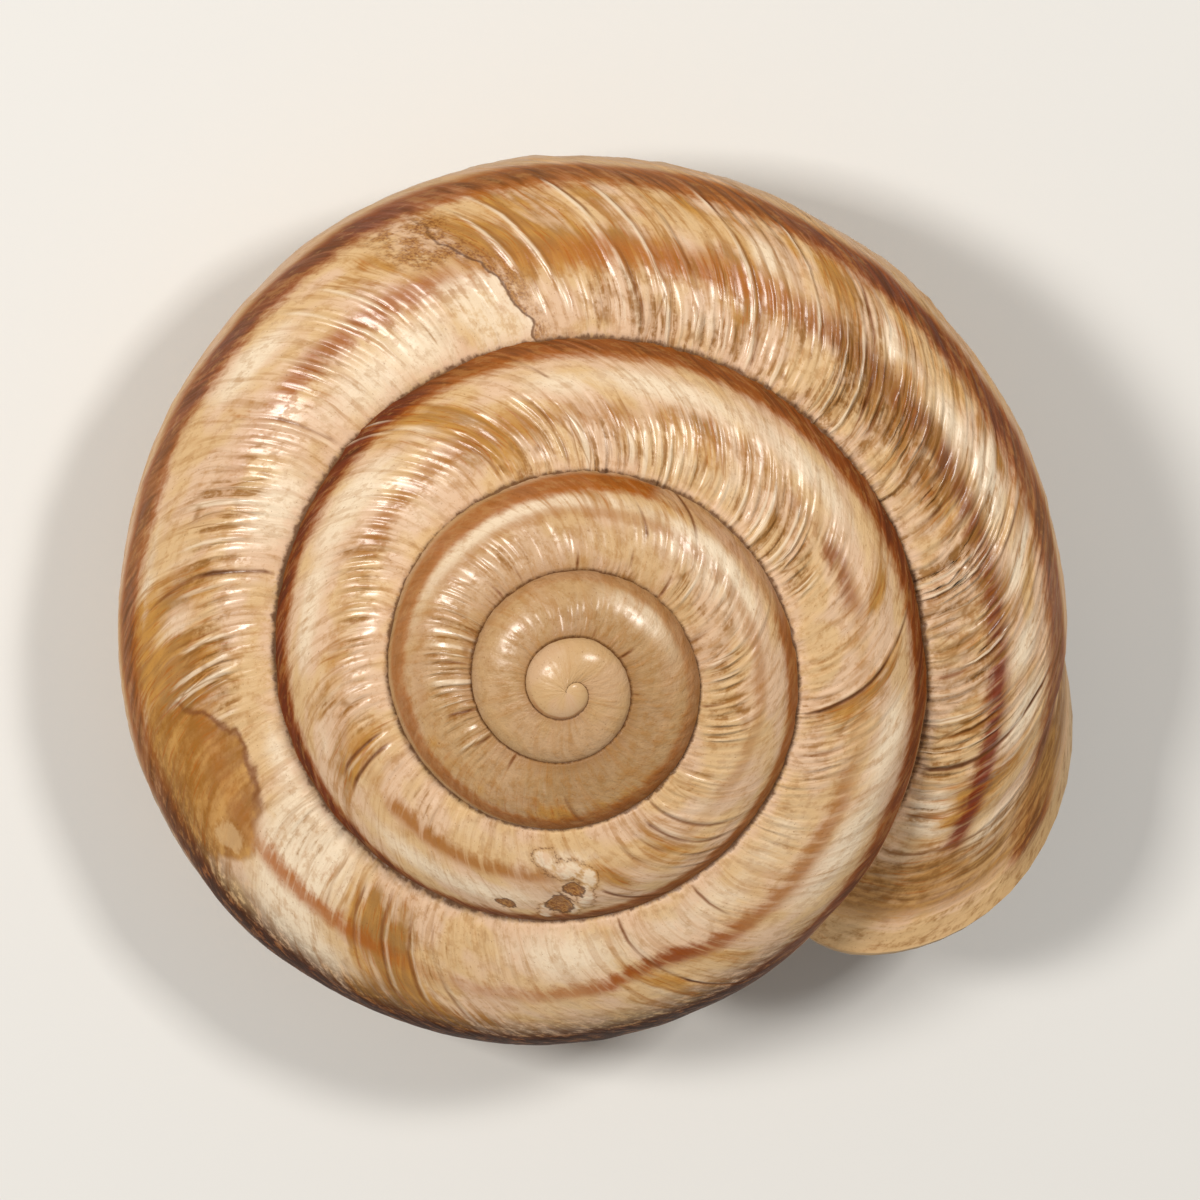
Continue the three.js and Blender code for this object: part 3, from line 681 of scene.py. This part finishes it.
def make_shell():
    places = to_frame(np.concatenate(points))
    places[:, 2] = np.maximum(places[:, 2], 0)
    mesh = bpy.data.meshes.new("land_snail_shell")
    mesh.from_pydata(places.tolist(), [], np.concatenate(faces).tolist())
    for name in NAMES:
        layer = mesh.attributes.new(name, "FLOAT", "POINT")
        layer.data.foreach_set("value", np.concatenate(facts[name]).astype(np.float32))
    mesh.polygons.foreach_set("use_smooth", [True] * len(mesh.polygons))
    mesh.update()
    return new_object("land_snail_shell", mesh)


shell = make_shell()
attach(shell, "root")
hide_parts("shell")

# Materials


class Nodes:
    """Short names for the nodes of one material."""

    def __init__(self, name):
        self.material = bpy.data.materials.new(name)
        self.material.use_nodes = True
        self.tree = self.material.node_tree
        self.tree.nodes.clear()
        self.shader = self.new("BsdfPrincipled")
        self.put(self.shader.outputs[0], self.new("OutputMaterial").inputs[0])

    def new(self, kind, **settings):
        node = self.tree.nodes.new("ShaderNode" + kind)
        for name, value in settings.items():
            setattr(node, name, value)
        return node

    def put(self, value, socket):
        if isinstance(value, bpy.types.NodeSocket):
            self.tree.links.new(value, socket)
        else:
            socket.default_value = value

    def put_all(self, values, node):
        for value, socket in zip(values, node.inputs):
            self.put(value, socket)

    def shade(self, **values):
        """Sets inputs of the shader, named with underscores for spaces."""
        for name, value in values.items():
            self.put(value, self.shader.inputs[name.replace("_", " ")])

    def fact(self, name):
        return self.new("Attribute", attribute_name=name).outputs["Fac"]

    def math(self, kind, *values):
        node = self.new("Math", operation=kind)
        self.put_all(values, node)
        return node.outputs[0]

    def add(self, total, *others):
        for value in others:
            total = self.math("ADD", total, value)
        return total

    def times(self, product, *others):
        for value in others:
            product = self.math("MULTIPLY", product, value)
        return product

    def swing(self, value, amount):
        """Noise moved from 0..1 to lie around 0."""
        return self.times(self.add(value, -0.5), amount)

    def fit(self, value, low, high, to_low=0.0, to_high=1.0):
        """Smooth step of value from low..high to to_low..to_high."""
        node = self.new("MapRange", interpolation_type="SMOOTHSTEP")
        self.put_all((value, low, high, to_low, to_high), node)
        return node.outputs[0]

    def vector(self, x, y, z=0.0):
        node = self.new("CombineXYZ")
        self.put_all((x, y, z), node)
        return node.outputs[0]

    def noise(self, x, y, x_scale, y_scale, z=0.0, detail=2.0, roughness=0.55):
        """Noise from 0 to 1 with x_scale and y_scale cells to a millimetre. z sets it apart."""
        node = self.new("TexNoise")
        node.inputs["Scale"].default_value = 1.0
        node.inputs["Detail"].default_value = detail
        node.inputs["Roughness"].default_value = roughness
        self.put(self.vector(self.times(x, x_scale), self.times(y, y_scale), z), node.inputs["Vector"])
        return node.outputs["Fac"]

    def cells(self, x, y):
        """Distance to the nearest edge of irregular cells about one unit across."""
        node = self.new("TexVoronoi", voronoi_dimensions="2D", feature="DISTANCE_TO_EDGE")
        node.inputs["Scale"].default_value = 1.0
        self.put(self.vector(x, y), node.inputs["Vector"])
        return node.outputs["Distance"]

    def off(self, value, centre):
        """Distance of value from centre."""
        return self.math("ABSOLUTE", self.math("SUBTRACT", value, centre))

    def disc(self, turn, s, at, across, half_turn, half_across):
        """Distance from a place on the outside, 1 at the edge of its oval."""
        u = self.times(self.add(turn, -at), 1 / half_turn)
        v = self.times(self.add(s, -across), 1 / half_across)
        return self.math("SQRT", self.add(self.times(u, u), self.times(v, v)))

    def colour(self, share, a, b):
        """Mix of two colours."""
        node = self.new("Mix", data_type="RGBA")
        self.put(share, node.inputs["Factor"])
        self.put(a, node.inputs[6])
        self.put(b, node.inputs[7])
        return node.outputs[2]

    def paint(self, share, colour):
        """Lays a colour over what is there already."""
        self.base = self.colour(share, self.base, colour)


def tone(r, g, b):
    """Linear colour from the 0-255 values seen on a screen."""
    seen = [v / 255 for v in (r, g, b)]
    return [v / 12.92 if v < 0.04045 else ((v + 0.055) / 1.055) ** 2.4 for v in seen] + [1.0]


CREAM = tone(209, 174, 128)
PALE = tone(230, 210, 182)
PINKISH = tone(214, 180, 150)
TAN = tone(166, 116, 60)
BEIGE = tone(180, 142, 98)
GREY_BROWN = tone(144, 108, 66)
OCHRE = tone(164, 90, 16)
GOLD = tone(182, 130, 58)
BROWN = tone(118, 66, 24)
RED_BROWN = tone(112, 38, 8)
LINE = tone(88, 50, 18)
# Brown of the grooves, partly painted shade.
GROOVE_BROWN_AND_SHADE = tone(144, 98, 46)
DARK = tone(56, 30, 12)
OLIVE = tone(150, 106, 48)
MID_BROWN, MID_LATE = tone(156, 98, 36), tone(138, 90, 40)
LOW_OCHRE = tone(154, 84, 18)
BASE_PALE, BASE_TAN, BASE_EDGE = tone(222, 198, 162), tone(206, 174, 130), tone(204, 158, 112)
BASE_BAND = tone(168, 112, 58)
PATCH_LIGHT, PATCH_DARK = tone(190, 140, 72), tone(148, 96, 34)
FURROW_LIGHT, FURROW_DARK = tone(172, 126, 68), tone(130, 88, 42)
LIP_TONE, LIP_SHADE = tone(194, 160, 114), tone(146, 108, 64)
LINING_PALE, LINING_TAN, LINING_BAND = tone(236, 216, 186), tone(222, 190, 150), tone(176, 120, 84)
# Bared patch and the pale spot in it: whorl, across, half length, half width
PATCH, SPOT = (4.696, 0.46, 0.036, 0.27), (4.672, 0.43, 0.008, 0.07)
# Where things begin and end, as the two ends of a smooth step in whorls or across
EARLY = (3.4, 2.6)
# The lower outer edge of the last whorl is darkened with painted shade.
LOW_EDGE_SHADE_START, LOW_EDGE_SHADE_END, LOW_EDGE_SHADE_ACROSS = (4.36, 4.44), (4.74, 4.64), (0.44, 0.76)
MID_BROWN_START, MID_LATE_START = (4.44, 4.38), (5.06, 5.14)
BASE_FROM, BASE_BAND_AT, BASE_BAND_END = (0.95, 1.5), 1.42, (5.3, 5.1)
FURROW_STAIN_AT, LIP_FROM = 5.362, (5.379, 5.387)


def add_facts(n):
    """What the mesh says of each point, and the noises that the layers share."""
    n.turn, n.s, n.growth, n.inside = n.fact("turn"), n.fact("across"), n.fact("growth"), n.fact("inside")
    n.run, n.down, n.stain, n.pale = n.fact("run"), n.fact("down"), n.fact("stain"), n.fact("pale")
    n.coarse, n.rest, n.crest, n.dash = n.fact("coarse"), n.fact("rest"), n.fact("crest"), n.fact("dash")
    wander = n.add(n.run, n.times(n.noise(n.run, n.down, 0.4, 0.4, detail=0.0), 0.8))
    n.lines = n.noise(wander, n.down, 2.4, 0.30, roughness=0.65)
    n.hair = n.noise(wander, n.down, 8.0, 0.8, 4.0, detail=1.0, roughness=0.6)
    n.streaks = n.noise(wander, n.down, 0.85, 0.17, 8.0, roughness=0.65)
    n.blotch = n.noise(n.run, n.down, 0.32, 0.42, 2.0)
    n.mottle = n.noise(n.run, n.down, 1.7, 1.7, 5.0, detail=3.0, roughness=0.7)
    n.speck = n.noise(n.run, n.down, 7.0, 7.0, 9.0, roughness=0.8)
    bend = n.swing(n.noise(n.run, n.down, 1.3, 1.0, 6.0, detail=0.0), 0.15)
    n.creases = n.cells(n.times(n.add(wander, bend), 1.8), n.times(n.add(n.down, bend), 0.42))
    n.early = n.fit(n.turn, *EARLY)
    n.wavy = n.add(n.s, n.add(n.swing(n.lines, 0.06), n.swing(n.mottle, 0.08)))


def paint_ground(n):
    """Cream and pink, grey brown on the early whorls and as painted shade beside the suture late on the last
    whorl, golden stains, pale plates and fine lines.
    """
    n.base = n.colour(n.fit(n.blotch, 0.42, 0.58, 0.0, 0.85), CREAM, PINKISH)
    n.paint(n.times(n.early, n.fit(n.turn, 0.3, 1.5, 0.4, 0.7)), BEIGE)
    # Grey brown: the early whorls' own colour, and painted shade beside the suture late on the last whorl.
    grey_brown_and_shade = n.add(n.fact("grey_brown_and_shade"), n.swing(n.mottle, 0.9))
    n.paint(n.fit(grey_brown_and_shade, 0.1, 1.0, 0.0, 0.9), GREY_BROWN)
    busy = n.fit(n.stain, 0.05, 0.6, 0.25, 1.0)
    gold = n.colour(n.fit(n.add(n.blotch, n.swing(n.lines, 0.6)), 0.40, 0.62), GOLD, OLIVE)
    n.stained = n.add(n.stain, n.times(n.swing(n.streaks, 3.0), busy), n.swing(n.mottle, 0.6))
    n.paint(n.fit(n.stained, 0.15, 1.0, 0.0, 0.95), gold)
    paled = n.add(n.pale, n.add(n.times(n.swing(n.streaks, -2.0), busy), n.swing(n.mottle, 0.8)))
    paled = n.times(n.fit(paled, 0.15, 0.85, 0.0, 0.95), n.fit(n.early, 0.4, 0.9, 1.0, 0.6))
    n.paint(paled, PALE)
    lined = n.times(n.fit(n.stained, -0.2, 0.7, 0.22, 0.85), n.fit(n.turn, 0.6, 1.6))
    n.paint(n.times(n.fit(n.lines, 0.50, 0.64), lined), TAN)
    n.paint(n.times(n.fit(n.mottle, 0.48, 0.64), n.fit(n.turn, 1.0, 2.6, 0.05, 0.35)), TAN)


def paint_underside(n):
    """Paler ground with a faint broken band."""
    n.paint(n.fit(n.s, 0.85, 1.0, 0.0, 0.6), BASE_EDGE)
    base_place = n.add(n.s, n.add(n.swing(n.blotch, 0.3), n.swing(n.lines, 0.2)))
    base_tone = n.colour(n.fit(n.streaks, 0.34, 0.68), BASE_PALE, BASE_TAN)
    n.paint(n.fit(base_place, *BASE_FROM, 0.0, 0.85), base_tone)
    broken = n.fit(n.streaks, 0.34, 0.64, 0.2, 0.5)
    band = n.times(n.fit(n.off(base_place, BASE_BAND_AT), 0.22, 0.02), broken)
    n.paint(n.times(band, n.fit(n.turn, *BASE_BAND_END)), BASE_BAND)


def paint_patch(n):
    """Patch of bared ochre with a pale spot. Its thin dark edge on the upper side is painted later."""
    patch = n.add(n.disc(n.turn, n.s, *PATCH), n.swing(n.blotch, 0.5), n.swing(n.mottle, 0.14))
    in_patch = n.times(n.fit(patch, 1.06, 0.94), n.fit(n.s, 0.84, 0.60))
    rim = n.fit(n.off(patch, 1.0), 0.07, 0.0)
    n.patch_edge = n.times(rim, n.fit(n.s, 0.50, 0.36), n.fit(n.turn, 4.665, 4.69, 0.3, 1.0))
    uneven = n.add(n.streaks, n.times(n.mottle, 0.5))
    patch_colour = n.colour(n.fit(uneven, 0.58, 0.90), PATCH_LIGHT, PATCH_DARK)
    n.paint(n.times(in_patch, 0.9), patch_colour)
    spot = n.fit(n.add(n.disc(n.turn, n.s, *SPOT), n.swing(n.mottle, 1.2)), 1.1, 0.7)
    n.paint(n.times(spot, 0.5), CREAM)


def from_band(n, name):
    """Distance from the middle of a band, 1 at its edge."""
    return n.math("DIVIDE", n.off(n.wavy, n.fact(name + "_at")), n.fact(name + "_half"))


def paint_middle_band(n):
    mid = n.times(n.fit(from_band(n, "mid"), 1.9, 0.2), n.fact("mid"))
    mid_colour = n.colour(n.fit(n.turn, *MID_BROWN_START), OCHRE, MID_BROWN)
    mid_colour = n.colour(n.fit(n.turn, *MID_LATE_START), mid_colour, MID_LATE)
    mid_colour = n.colour(n.fact("mid_red"), mid_colour, RED_BROWN)
    n.paint(n.times(mid, n.fit(n.lines, 0.36, 0.50, 0.55, 0.95)), mid_colour)


def paint_low_band(n):
    """Ochre to red brown, with a darker core."""
    n.low_place = from_band(n, "low")
    n.low = n.times(n.fit(n.low_place, 1.7, 0.7), n.fact("low"))
    deep = n.add(n.fit(n.low_place, 1.25, 0.3, 0.35, 1.0), n.swing(n.streaks, 1.2))
    low_colour = n.colour(n.times(n.fact("low_red"), deep), LOW_OCHRE, RED_BROWN)
    darkest = n.fit(n.add(deep, n.swing(n.lines, 2.0)), 0.6, 1.6)
    darkest = n.times(darkest, n.fit(n.turn, 3.3, 3.7, 0.3, 0.7))
    low_colour = n.colour(darkest, low_colour, DARK)
    uneven = n.add(n.mottle, n.times(n.streaks, 0.5))
    low_colour = n.colour(n.fit(uneven, 0.74, 0.62, 0.0, 0.4), low_colour, TAN)
    n.paint(n.times(n.low, n.fit(n.lines, 0.32, 0.46, 0.9, 1.0)), low_colour)


def paint_lip(n):
    """Stained furrow behind the lip and the lip's pale edge."""
    lip_noise = n.add(n.swing(n.lines, 0.02), n.swing(n.mottle, 0.012))
    furrow = n.fit(n.off(n.add(n.growth, lip_noise), FURROW_STAIN_AT), 0.022, 0.008)
    mixed = n.add(n.times(n.mottle, 0.5), n.times(n.lines, 0.5))
    furrow_colour = n.colour(n.fit(mixed, 0.40, 0.60), FURROW_LIGHT, FURROW_DARK)
    n.paint(n.times(furrow, n.fit(n.streaks, 0.36, 0.56, 0.55, 0.95)), furrow_colour)
    lip = n.fit(n.add(n.growth, lip_noise), *LIP_FROM)
    n.paint(n.times(lip, 0.9), n.colour(n.fit(n.mottle, 0.44, 0.74), LIP_TONE, LIP_SHADE))


def paint_wrinkles(n):
    """Pale crests, partly painted highlight; dark dashes and creases in the grooves, brown that is partly
    painted shade; ochre hairlines.
    """
    # Pale crests, partly painted highlight on the ridges.
    n.paint(n.fit(n.crest, 0.25, 0.9, 0.0, 0.75), PALE)
    # Dark dashes and creases in the grooves: partly brown, partly painted shade.
    n.paint(n.times(n.fit(n.dash, 0.08, 0.55), n.fit(n.mottle, 0.40, 0.58, 0.3, 0.85)), GROOVE_BROWN_AND_SHADE)
    in_crease = n.times(n.fit(n.creases, 0.10, 0.01), n.fit(n.coarse, 0.3, 1.1))
    n.paint(n.times(in_crease, n.fit(n.streaks, 0.40, 0.6, 0.1, 0.7)), GROOVE_BROWN_AND_SHADE)
    n.paint(n.times(n.fit(n.hair, 0.54, 0.70), n.fit(n.stained, 0.1, 0.9, 0.1, 0.6)), OCHRE)


def paint_low_edge_shade(n):
    """Painted shade, dark and mottled, at the lower outer edge of the last whorl."""
    inner = n.fit(n.s, *LOW_EDGE_SHADE_ACROSS)
    outer = n.fit(n.add(n.s, n.swing(n.blotch, 0.4)), 1.10, 0.90)
    spots = n.fit(n.add(n.mottle, n.times(n.speck, 0.4)), 0.56, 0.72, 0.2, 0.95)
    # Dark mottled painted shade along the lower outer edge.
    n.paint(n.times(n.fit(n.turn, *LOW_EDGE_SHADE_START), n.fit(n.turn, *LOW_EDGE_SHADE_END), inner, outer, spots), DARK)


def paint_rests(n):
    """Growth rests, the edge of the bared patch and brown specks."""
    n.paint(n.fit(n.add(n.rest, n.swing(n.lines, 0.6)), 0.15, 0.80, 0.0, 0.8), BROWN)
    n.paint(n.fit(n.add(n.rest, n.swing(n.mottle, 0.5)), 0.60, 1.00, 0.0, 0.8), LINE)
    n.paint(n.times(n.patch_edge, 0.8), BROWN)
    n.paint(n.fit(n.speck, 0.62, 0.74, 0.0, 0.55), BROWN)


def paint_scar(n):
    """Brown pits and pale curled ridges, with painted shade as a dark outline round the ridges."""
    worn = n.fit(n.mottle, 0.35, 0.65, 0.6, 1.4)
    curl, pit = n.times(n.fact("curl"), worn), n.times(n.fact("pit"), worn)
    n.paint(n.fit(n.off(curl, 0.22), 0.20, 0.0, 0.0, 0.4), TAN)
    # Painted shade: a broken dark outline round the raised curled ridges.
    curl_painted_shade = n.times(n.fit(n.off(curl, 0.20), 0.07, 0.0), n.fit(n.speck, 0.40, 0.60, 0.0, 0.7))
    n.paint(curl_painted_shade, LINE)
    curl_colour = n.colour(n.fit(n.mottle, 0.4, 0.6), PINKISH, PALE)
    n.paint(n.fit(curl, 0.28, 0.60, 0.0, 0.8), curl_colour)
    n.paint(n.fit(pit, 0.30, 0.45, 0.0, 0.9), n.colour(n.fit(n.speck, 0.4, 0.6), TAN, BROWN))
    n.paint(n.fit(n.off(pit, 0.34), 0.14, 0.02, 0.0, 0.8), LINE)
    n.in_pit = n.fit(pit, 0.35, 0.60)


def paint_break(n):
    """Dark jagged line, a smooth pale plate before it and crumbled shell beside it."""
    jag = n.add(n.swing(n.noise(n.down, 3.0, 0.9, 1.0, detail=1.0), 0.012), n.swing(n.mottle, 0.0025))
    past = n.add(n.fact("past"), n.add(jag, -1.0))
    at_break = n.fit(n.s, BREAK_END, BREAK_END - BREAK_END_FADE)
    worn = n.fit(n.add(n.mottle, n.times(n.lines, 0.6)), 0.92, 0.70, 0.25, 0.75)
    before = n.times(n.fit(past, -0.030, -0.022), n.fit(past, 0.0, -0.001))
    n.paint(n.times(before, n.fit(n.s, 0.34, 0.26), worn), PALE)
    older = n.times(n.fit(past, -0.026, -0.012), n.fit(n.s, 0.34, 0.42))
    beside = n.times(n.math("MAXIMUM", older, n.fit(past, 0.0, 0.001)), n.fit(past, 0.014, 0.002))
    crumbled = n.times(beside, at_break, n.fit(n.mottle, 0.38, 0.56, 0.15, 0.8))
    n.paint(crumbled, n.colour(n.fit(n.speck, 0.42, 0.6), TAN, BROWN))
    along_break = n.times(at_break, n.fit(n.s, 0.70, 0.40, 0.4, 1.0))
    crack = n.times(n.fit(n.off(past, 0.0), 0.0011, 0.0002), along_break)
    n.paint(n.times(crack, 0.8), LINE)


def paint_suture(n):
    """Pinkish rim, painted brown shade beside the suture on the early whorls, and a dark line in the suture
    that is partly dirt and partly painted shade.
    """
    rim = n.times(n.fit(n.s, 0.075, 0.02), n.fit(n.turn, 3.6, 4.3))
    n.paint(n.times(rim, n.fit(n.mottle, 0.38, 0.58, 0.8, 0.1)), PINKISH)
    # Painted shade: brown beside the suture on the early whorls, where the groove between whorls lies in
    # shade.
    shade = n.times(n.fit(n.add(n.s, n.swing(n.mottle, 0.3)), 0.13, 0.0), n.fit(n.turn, 3.6, 2.8))
    n.paint(n.times(shade, n.fit(n.turn, 0.8, 1.6, 0.0, 0.32)), BROWN)
    # Dark line in the suture: partly dirt, partly painted shade.
    suture_dirt_and_shade = n.fit(n.add(n.s, n.swing(n.mottle, 0.05)), 0.020, 0.002)
    n.paint(n.times(suture_dirt_and_shade, 0.85), LINE)


def paint_lining(n):
    """Inside of the hollow: pale and smooth, with the low band showing through."""
    lining = n.colour(n.fit(n.blotch, 0.3, 0.7), LINING_PALE, LINING_TAN)
    lining = n.colour(n.times(n.fit(n.low_place, 1.9, 0.5), 0.35), lining, LINING_BAND)
    n.paint(n.fit(n.inside, 0.15, 0.6), lining)


SHELL_LAYERS = (
    paint_ground, paint_underside, paint_patch, paint_middle_band, paint_low_band, paint_lip, paint_wrinkles,
    paint_low_edge_shade, paint_rests, paint_scar, paint_break, paint_suture, paint_lining,
)


def add_gloss(n):
    """Uneven gloss, with a thin coat where the whorl's top is clean."""
    gloss = n.add(n.times(n.mottle, 0.30), n.times(n.speck, 0.16))
    n.shade(Roughness=n.add(gloss, n.fit(n.low, 0.1, 0.6, 0.16, 0.36)), Specular_IOR_Level=0.15)
    shiny = n.times(n.fit(n.s, 0.62, 0.40), n.fit(n.mottle, 0.60, 0.46, 0.15, 0.7))
    clean = n.fit(n.math("MAXIMUM", n.dash, n.in_pit), 0.5, 0.05)
    coat = n.times(shiny, clean, n.fit(n.s, 0.05, 0.10), n.fit(n.inside, 0.3, 0.0))
    n.shade(Coat_Weight=coat, Coat_Roughness=0.23, Coat_IOR=1.5)


def add_bump(n):
    """Relief finer than the mesh."""
    bump = n.new("Bump")
    bump.inputs["Strength"].default_value = 1.0
    bump.inputs["Distance"].default_value = 0.0001
    wrinkled = n.times(n.fit(n.creases, 0.0, 0.36), n.times(n.coarse, 0.45))
    lined = n.times(n.lines, n.fit(n.stain, 0.1, 0.7, 0.2, 0.5))
    grain = n.add(lined, n.times(n.mottle, 0.34), n.times(n.mottle, n.times(n.early, 0.5)))
    grain = n.times(grain, n.fit(n.turn, 0.1, 1.4, 0.0, 1.0))
    groove = n.times(n.fit(n.s, 0.0, 0.03, -0.6, 0.0), n.fit(n.turn, 1.0, 2.0))
    height = n.add(wrinkled, grain, groove)
    n.put(n.times(height, n.fit(n.inside, 0.6, 0.0)), bump.inputs["Height"])
    n.shade(Normal=bump.outputs[0])


def shell_material():
    n = Nodes("shell")
    add_facts(n)
    for layer in SHELL_LAYERS:
        layer(n)
    n.shade(Base_Color=n.base)
    add_gloss(n)
    add_bump(n)
    return n.material


shell.data.materials.append(shell_material())

# Floor, lights and camera

FLOOR_COLOUR, LAMP_COLOUR, SKY_COLOUR = (0.72, 0.71, 0.69, 1), (1.0, 0.97, 0.92), (1.0, 0.98, 0.95, 1)
SKY_STRENGTH = 0.28
LAMPS_AIM_AT = 0.008
# The photograph, in pixels and in millimetres of the shell
PHOTO_WIDTH, PIXELS_PER_MM, APEX_PIXEL = 1200, 26.53, (567, 690)
PICTURE_WIDTH = PHOTO_WIDTH / PIXELS_PER_MM
VIEW_TILT = math.radians(11)
OUTLINE_HEIGHT = -11.0
LENS, SENSOR = 400.0, 36.0
NEAREST, FARTHEST = 0.01, 10


def floor_material():
    n = Nodes("floor")
    n.shade(Base_Color=FLOOR_COLOUR, Roughness=0.85, Specular_IOR_Level=0.15)
    return n.material


def make_floor(half):
    mesh = bpy.data.meshes.new("floor")
    corners = [(-half, -half, 0), (half, -half, 0), (half, half, 0), (-half, half, 0)]
    mesh.from_pydata(corners, [], [(0, 1, 2, 3)])
    mesh.materials.append(floor_material())
    floor = new_object("floor", mesh)


def soft_box(name, bearing, height, distance, size, power):
    """Soft light that faces the shell. The bearing runs from the top of the picture to its right."""
    light = bpy.data.lights.new(name, "AREA")
    light.shape = "RECTANGLE"
    light.size, light.size_y = size
    light.energy = power
    light.color = LAMP_COLOUR
    lamp = new_object(name, light)
    a, e = math.radians(bearing), math.radians(height)
    away = Vector((math.sin(a) * math.cos(e), math.cos(a) * math.cos(e), math.sin(e)))
    lamp.location = Vector((0, 0, LAMPS_AIM_AT)) + away * distance
    lamp.rotation_euler = away.to_track_quat("Z", "Y").to_euler()


def make_camera():
    toward = Vector((0, math.sin(VIEW_TILT), math.cos(VIEW_TILT)))
    right = Vector((1, 0, 0))
    up = toward.cross(right)
    middle = PHOTO_WIDTH / 2
    aside, above = (middle - APEX_PIXEL[0]) / PIXELS_PER_MM, (APEX_PIXEL[1] - middle) / PIXELS_PER_MM
    centre = Vector((0, 0, APEX_RISE)) + right * aside + up * above
    centre += toward * (OUTLINE_HEIGHT - centre.z) / toward.z
    data = bpy.data.cameras.new("camera")
    data.lens, data.sensor_width = LENS, SENSOR
    data.clip_start, data.clip_end = NEAREST, FARTHEST
    camera = new_object("camera", data)
    distance = PICTURE_WIDTH * LENS / SENSOR
    turned = REST @ Matrix((right, up, toward)).transposed()
    camera.matrix_world = Matrix.Translation(Vector(to_frame(centre + toward * distance))) @ turned.to_4x4()
    bpy.context.scene.camera = camera


make_floor(half=3.0)
soft_box("key_left", bearing=285, height=52, distance=0.30, size=(0.05, 0.07), power=0.60)
soft_box("key_right", bearing=50, height=60, distance=0.30, size=(0.05, 0.05), power=0.42)
make_camera()

world = bpy.data.worlds.new("studio")
world.use_nodes = True
sky = world.node_tree.nodes["Background"]
sky.inputs["Color"].default_value, sky.inputs["Strength"].default_value = SKY_COLOUR, SKY_STRENGTH
bpy.context.scene.world = world
bpy.context.scene.view_settings.view_transform = "Standard"
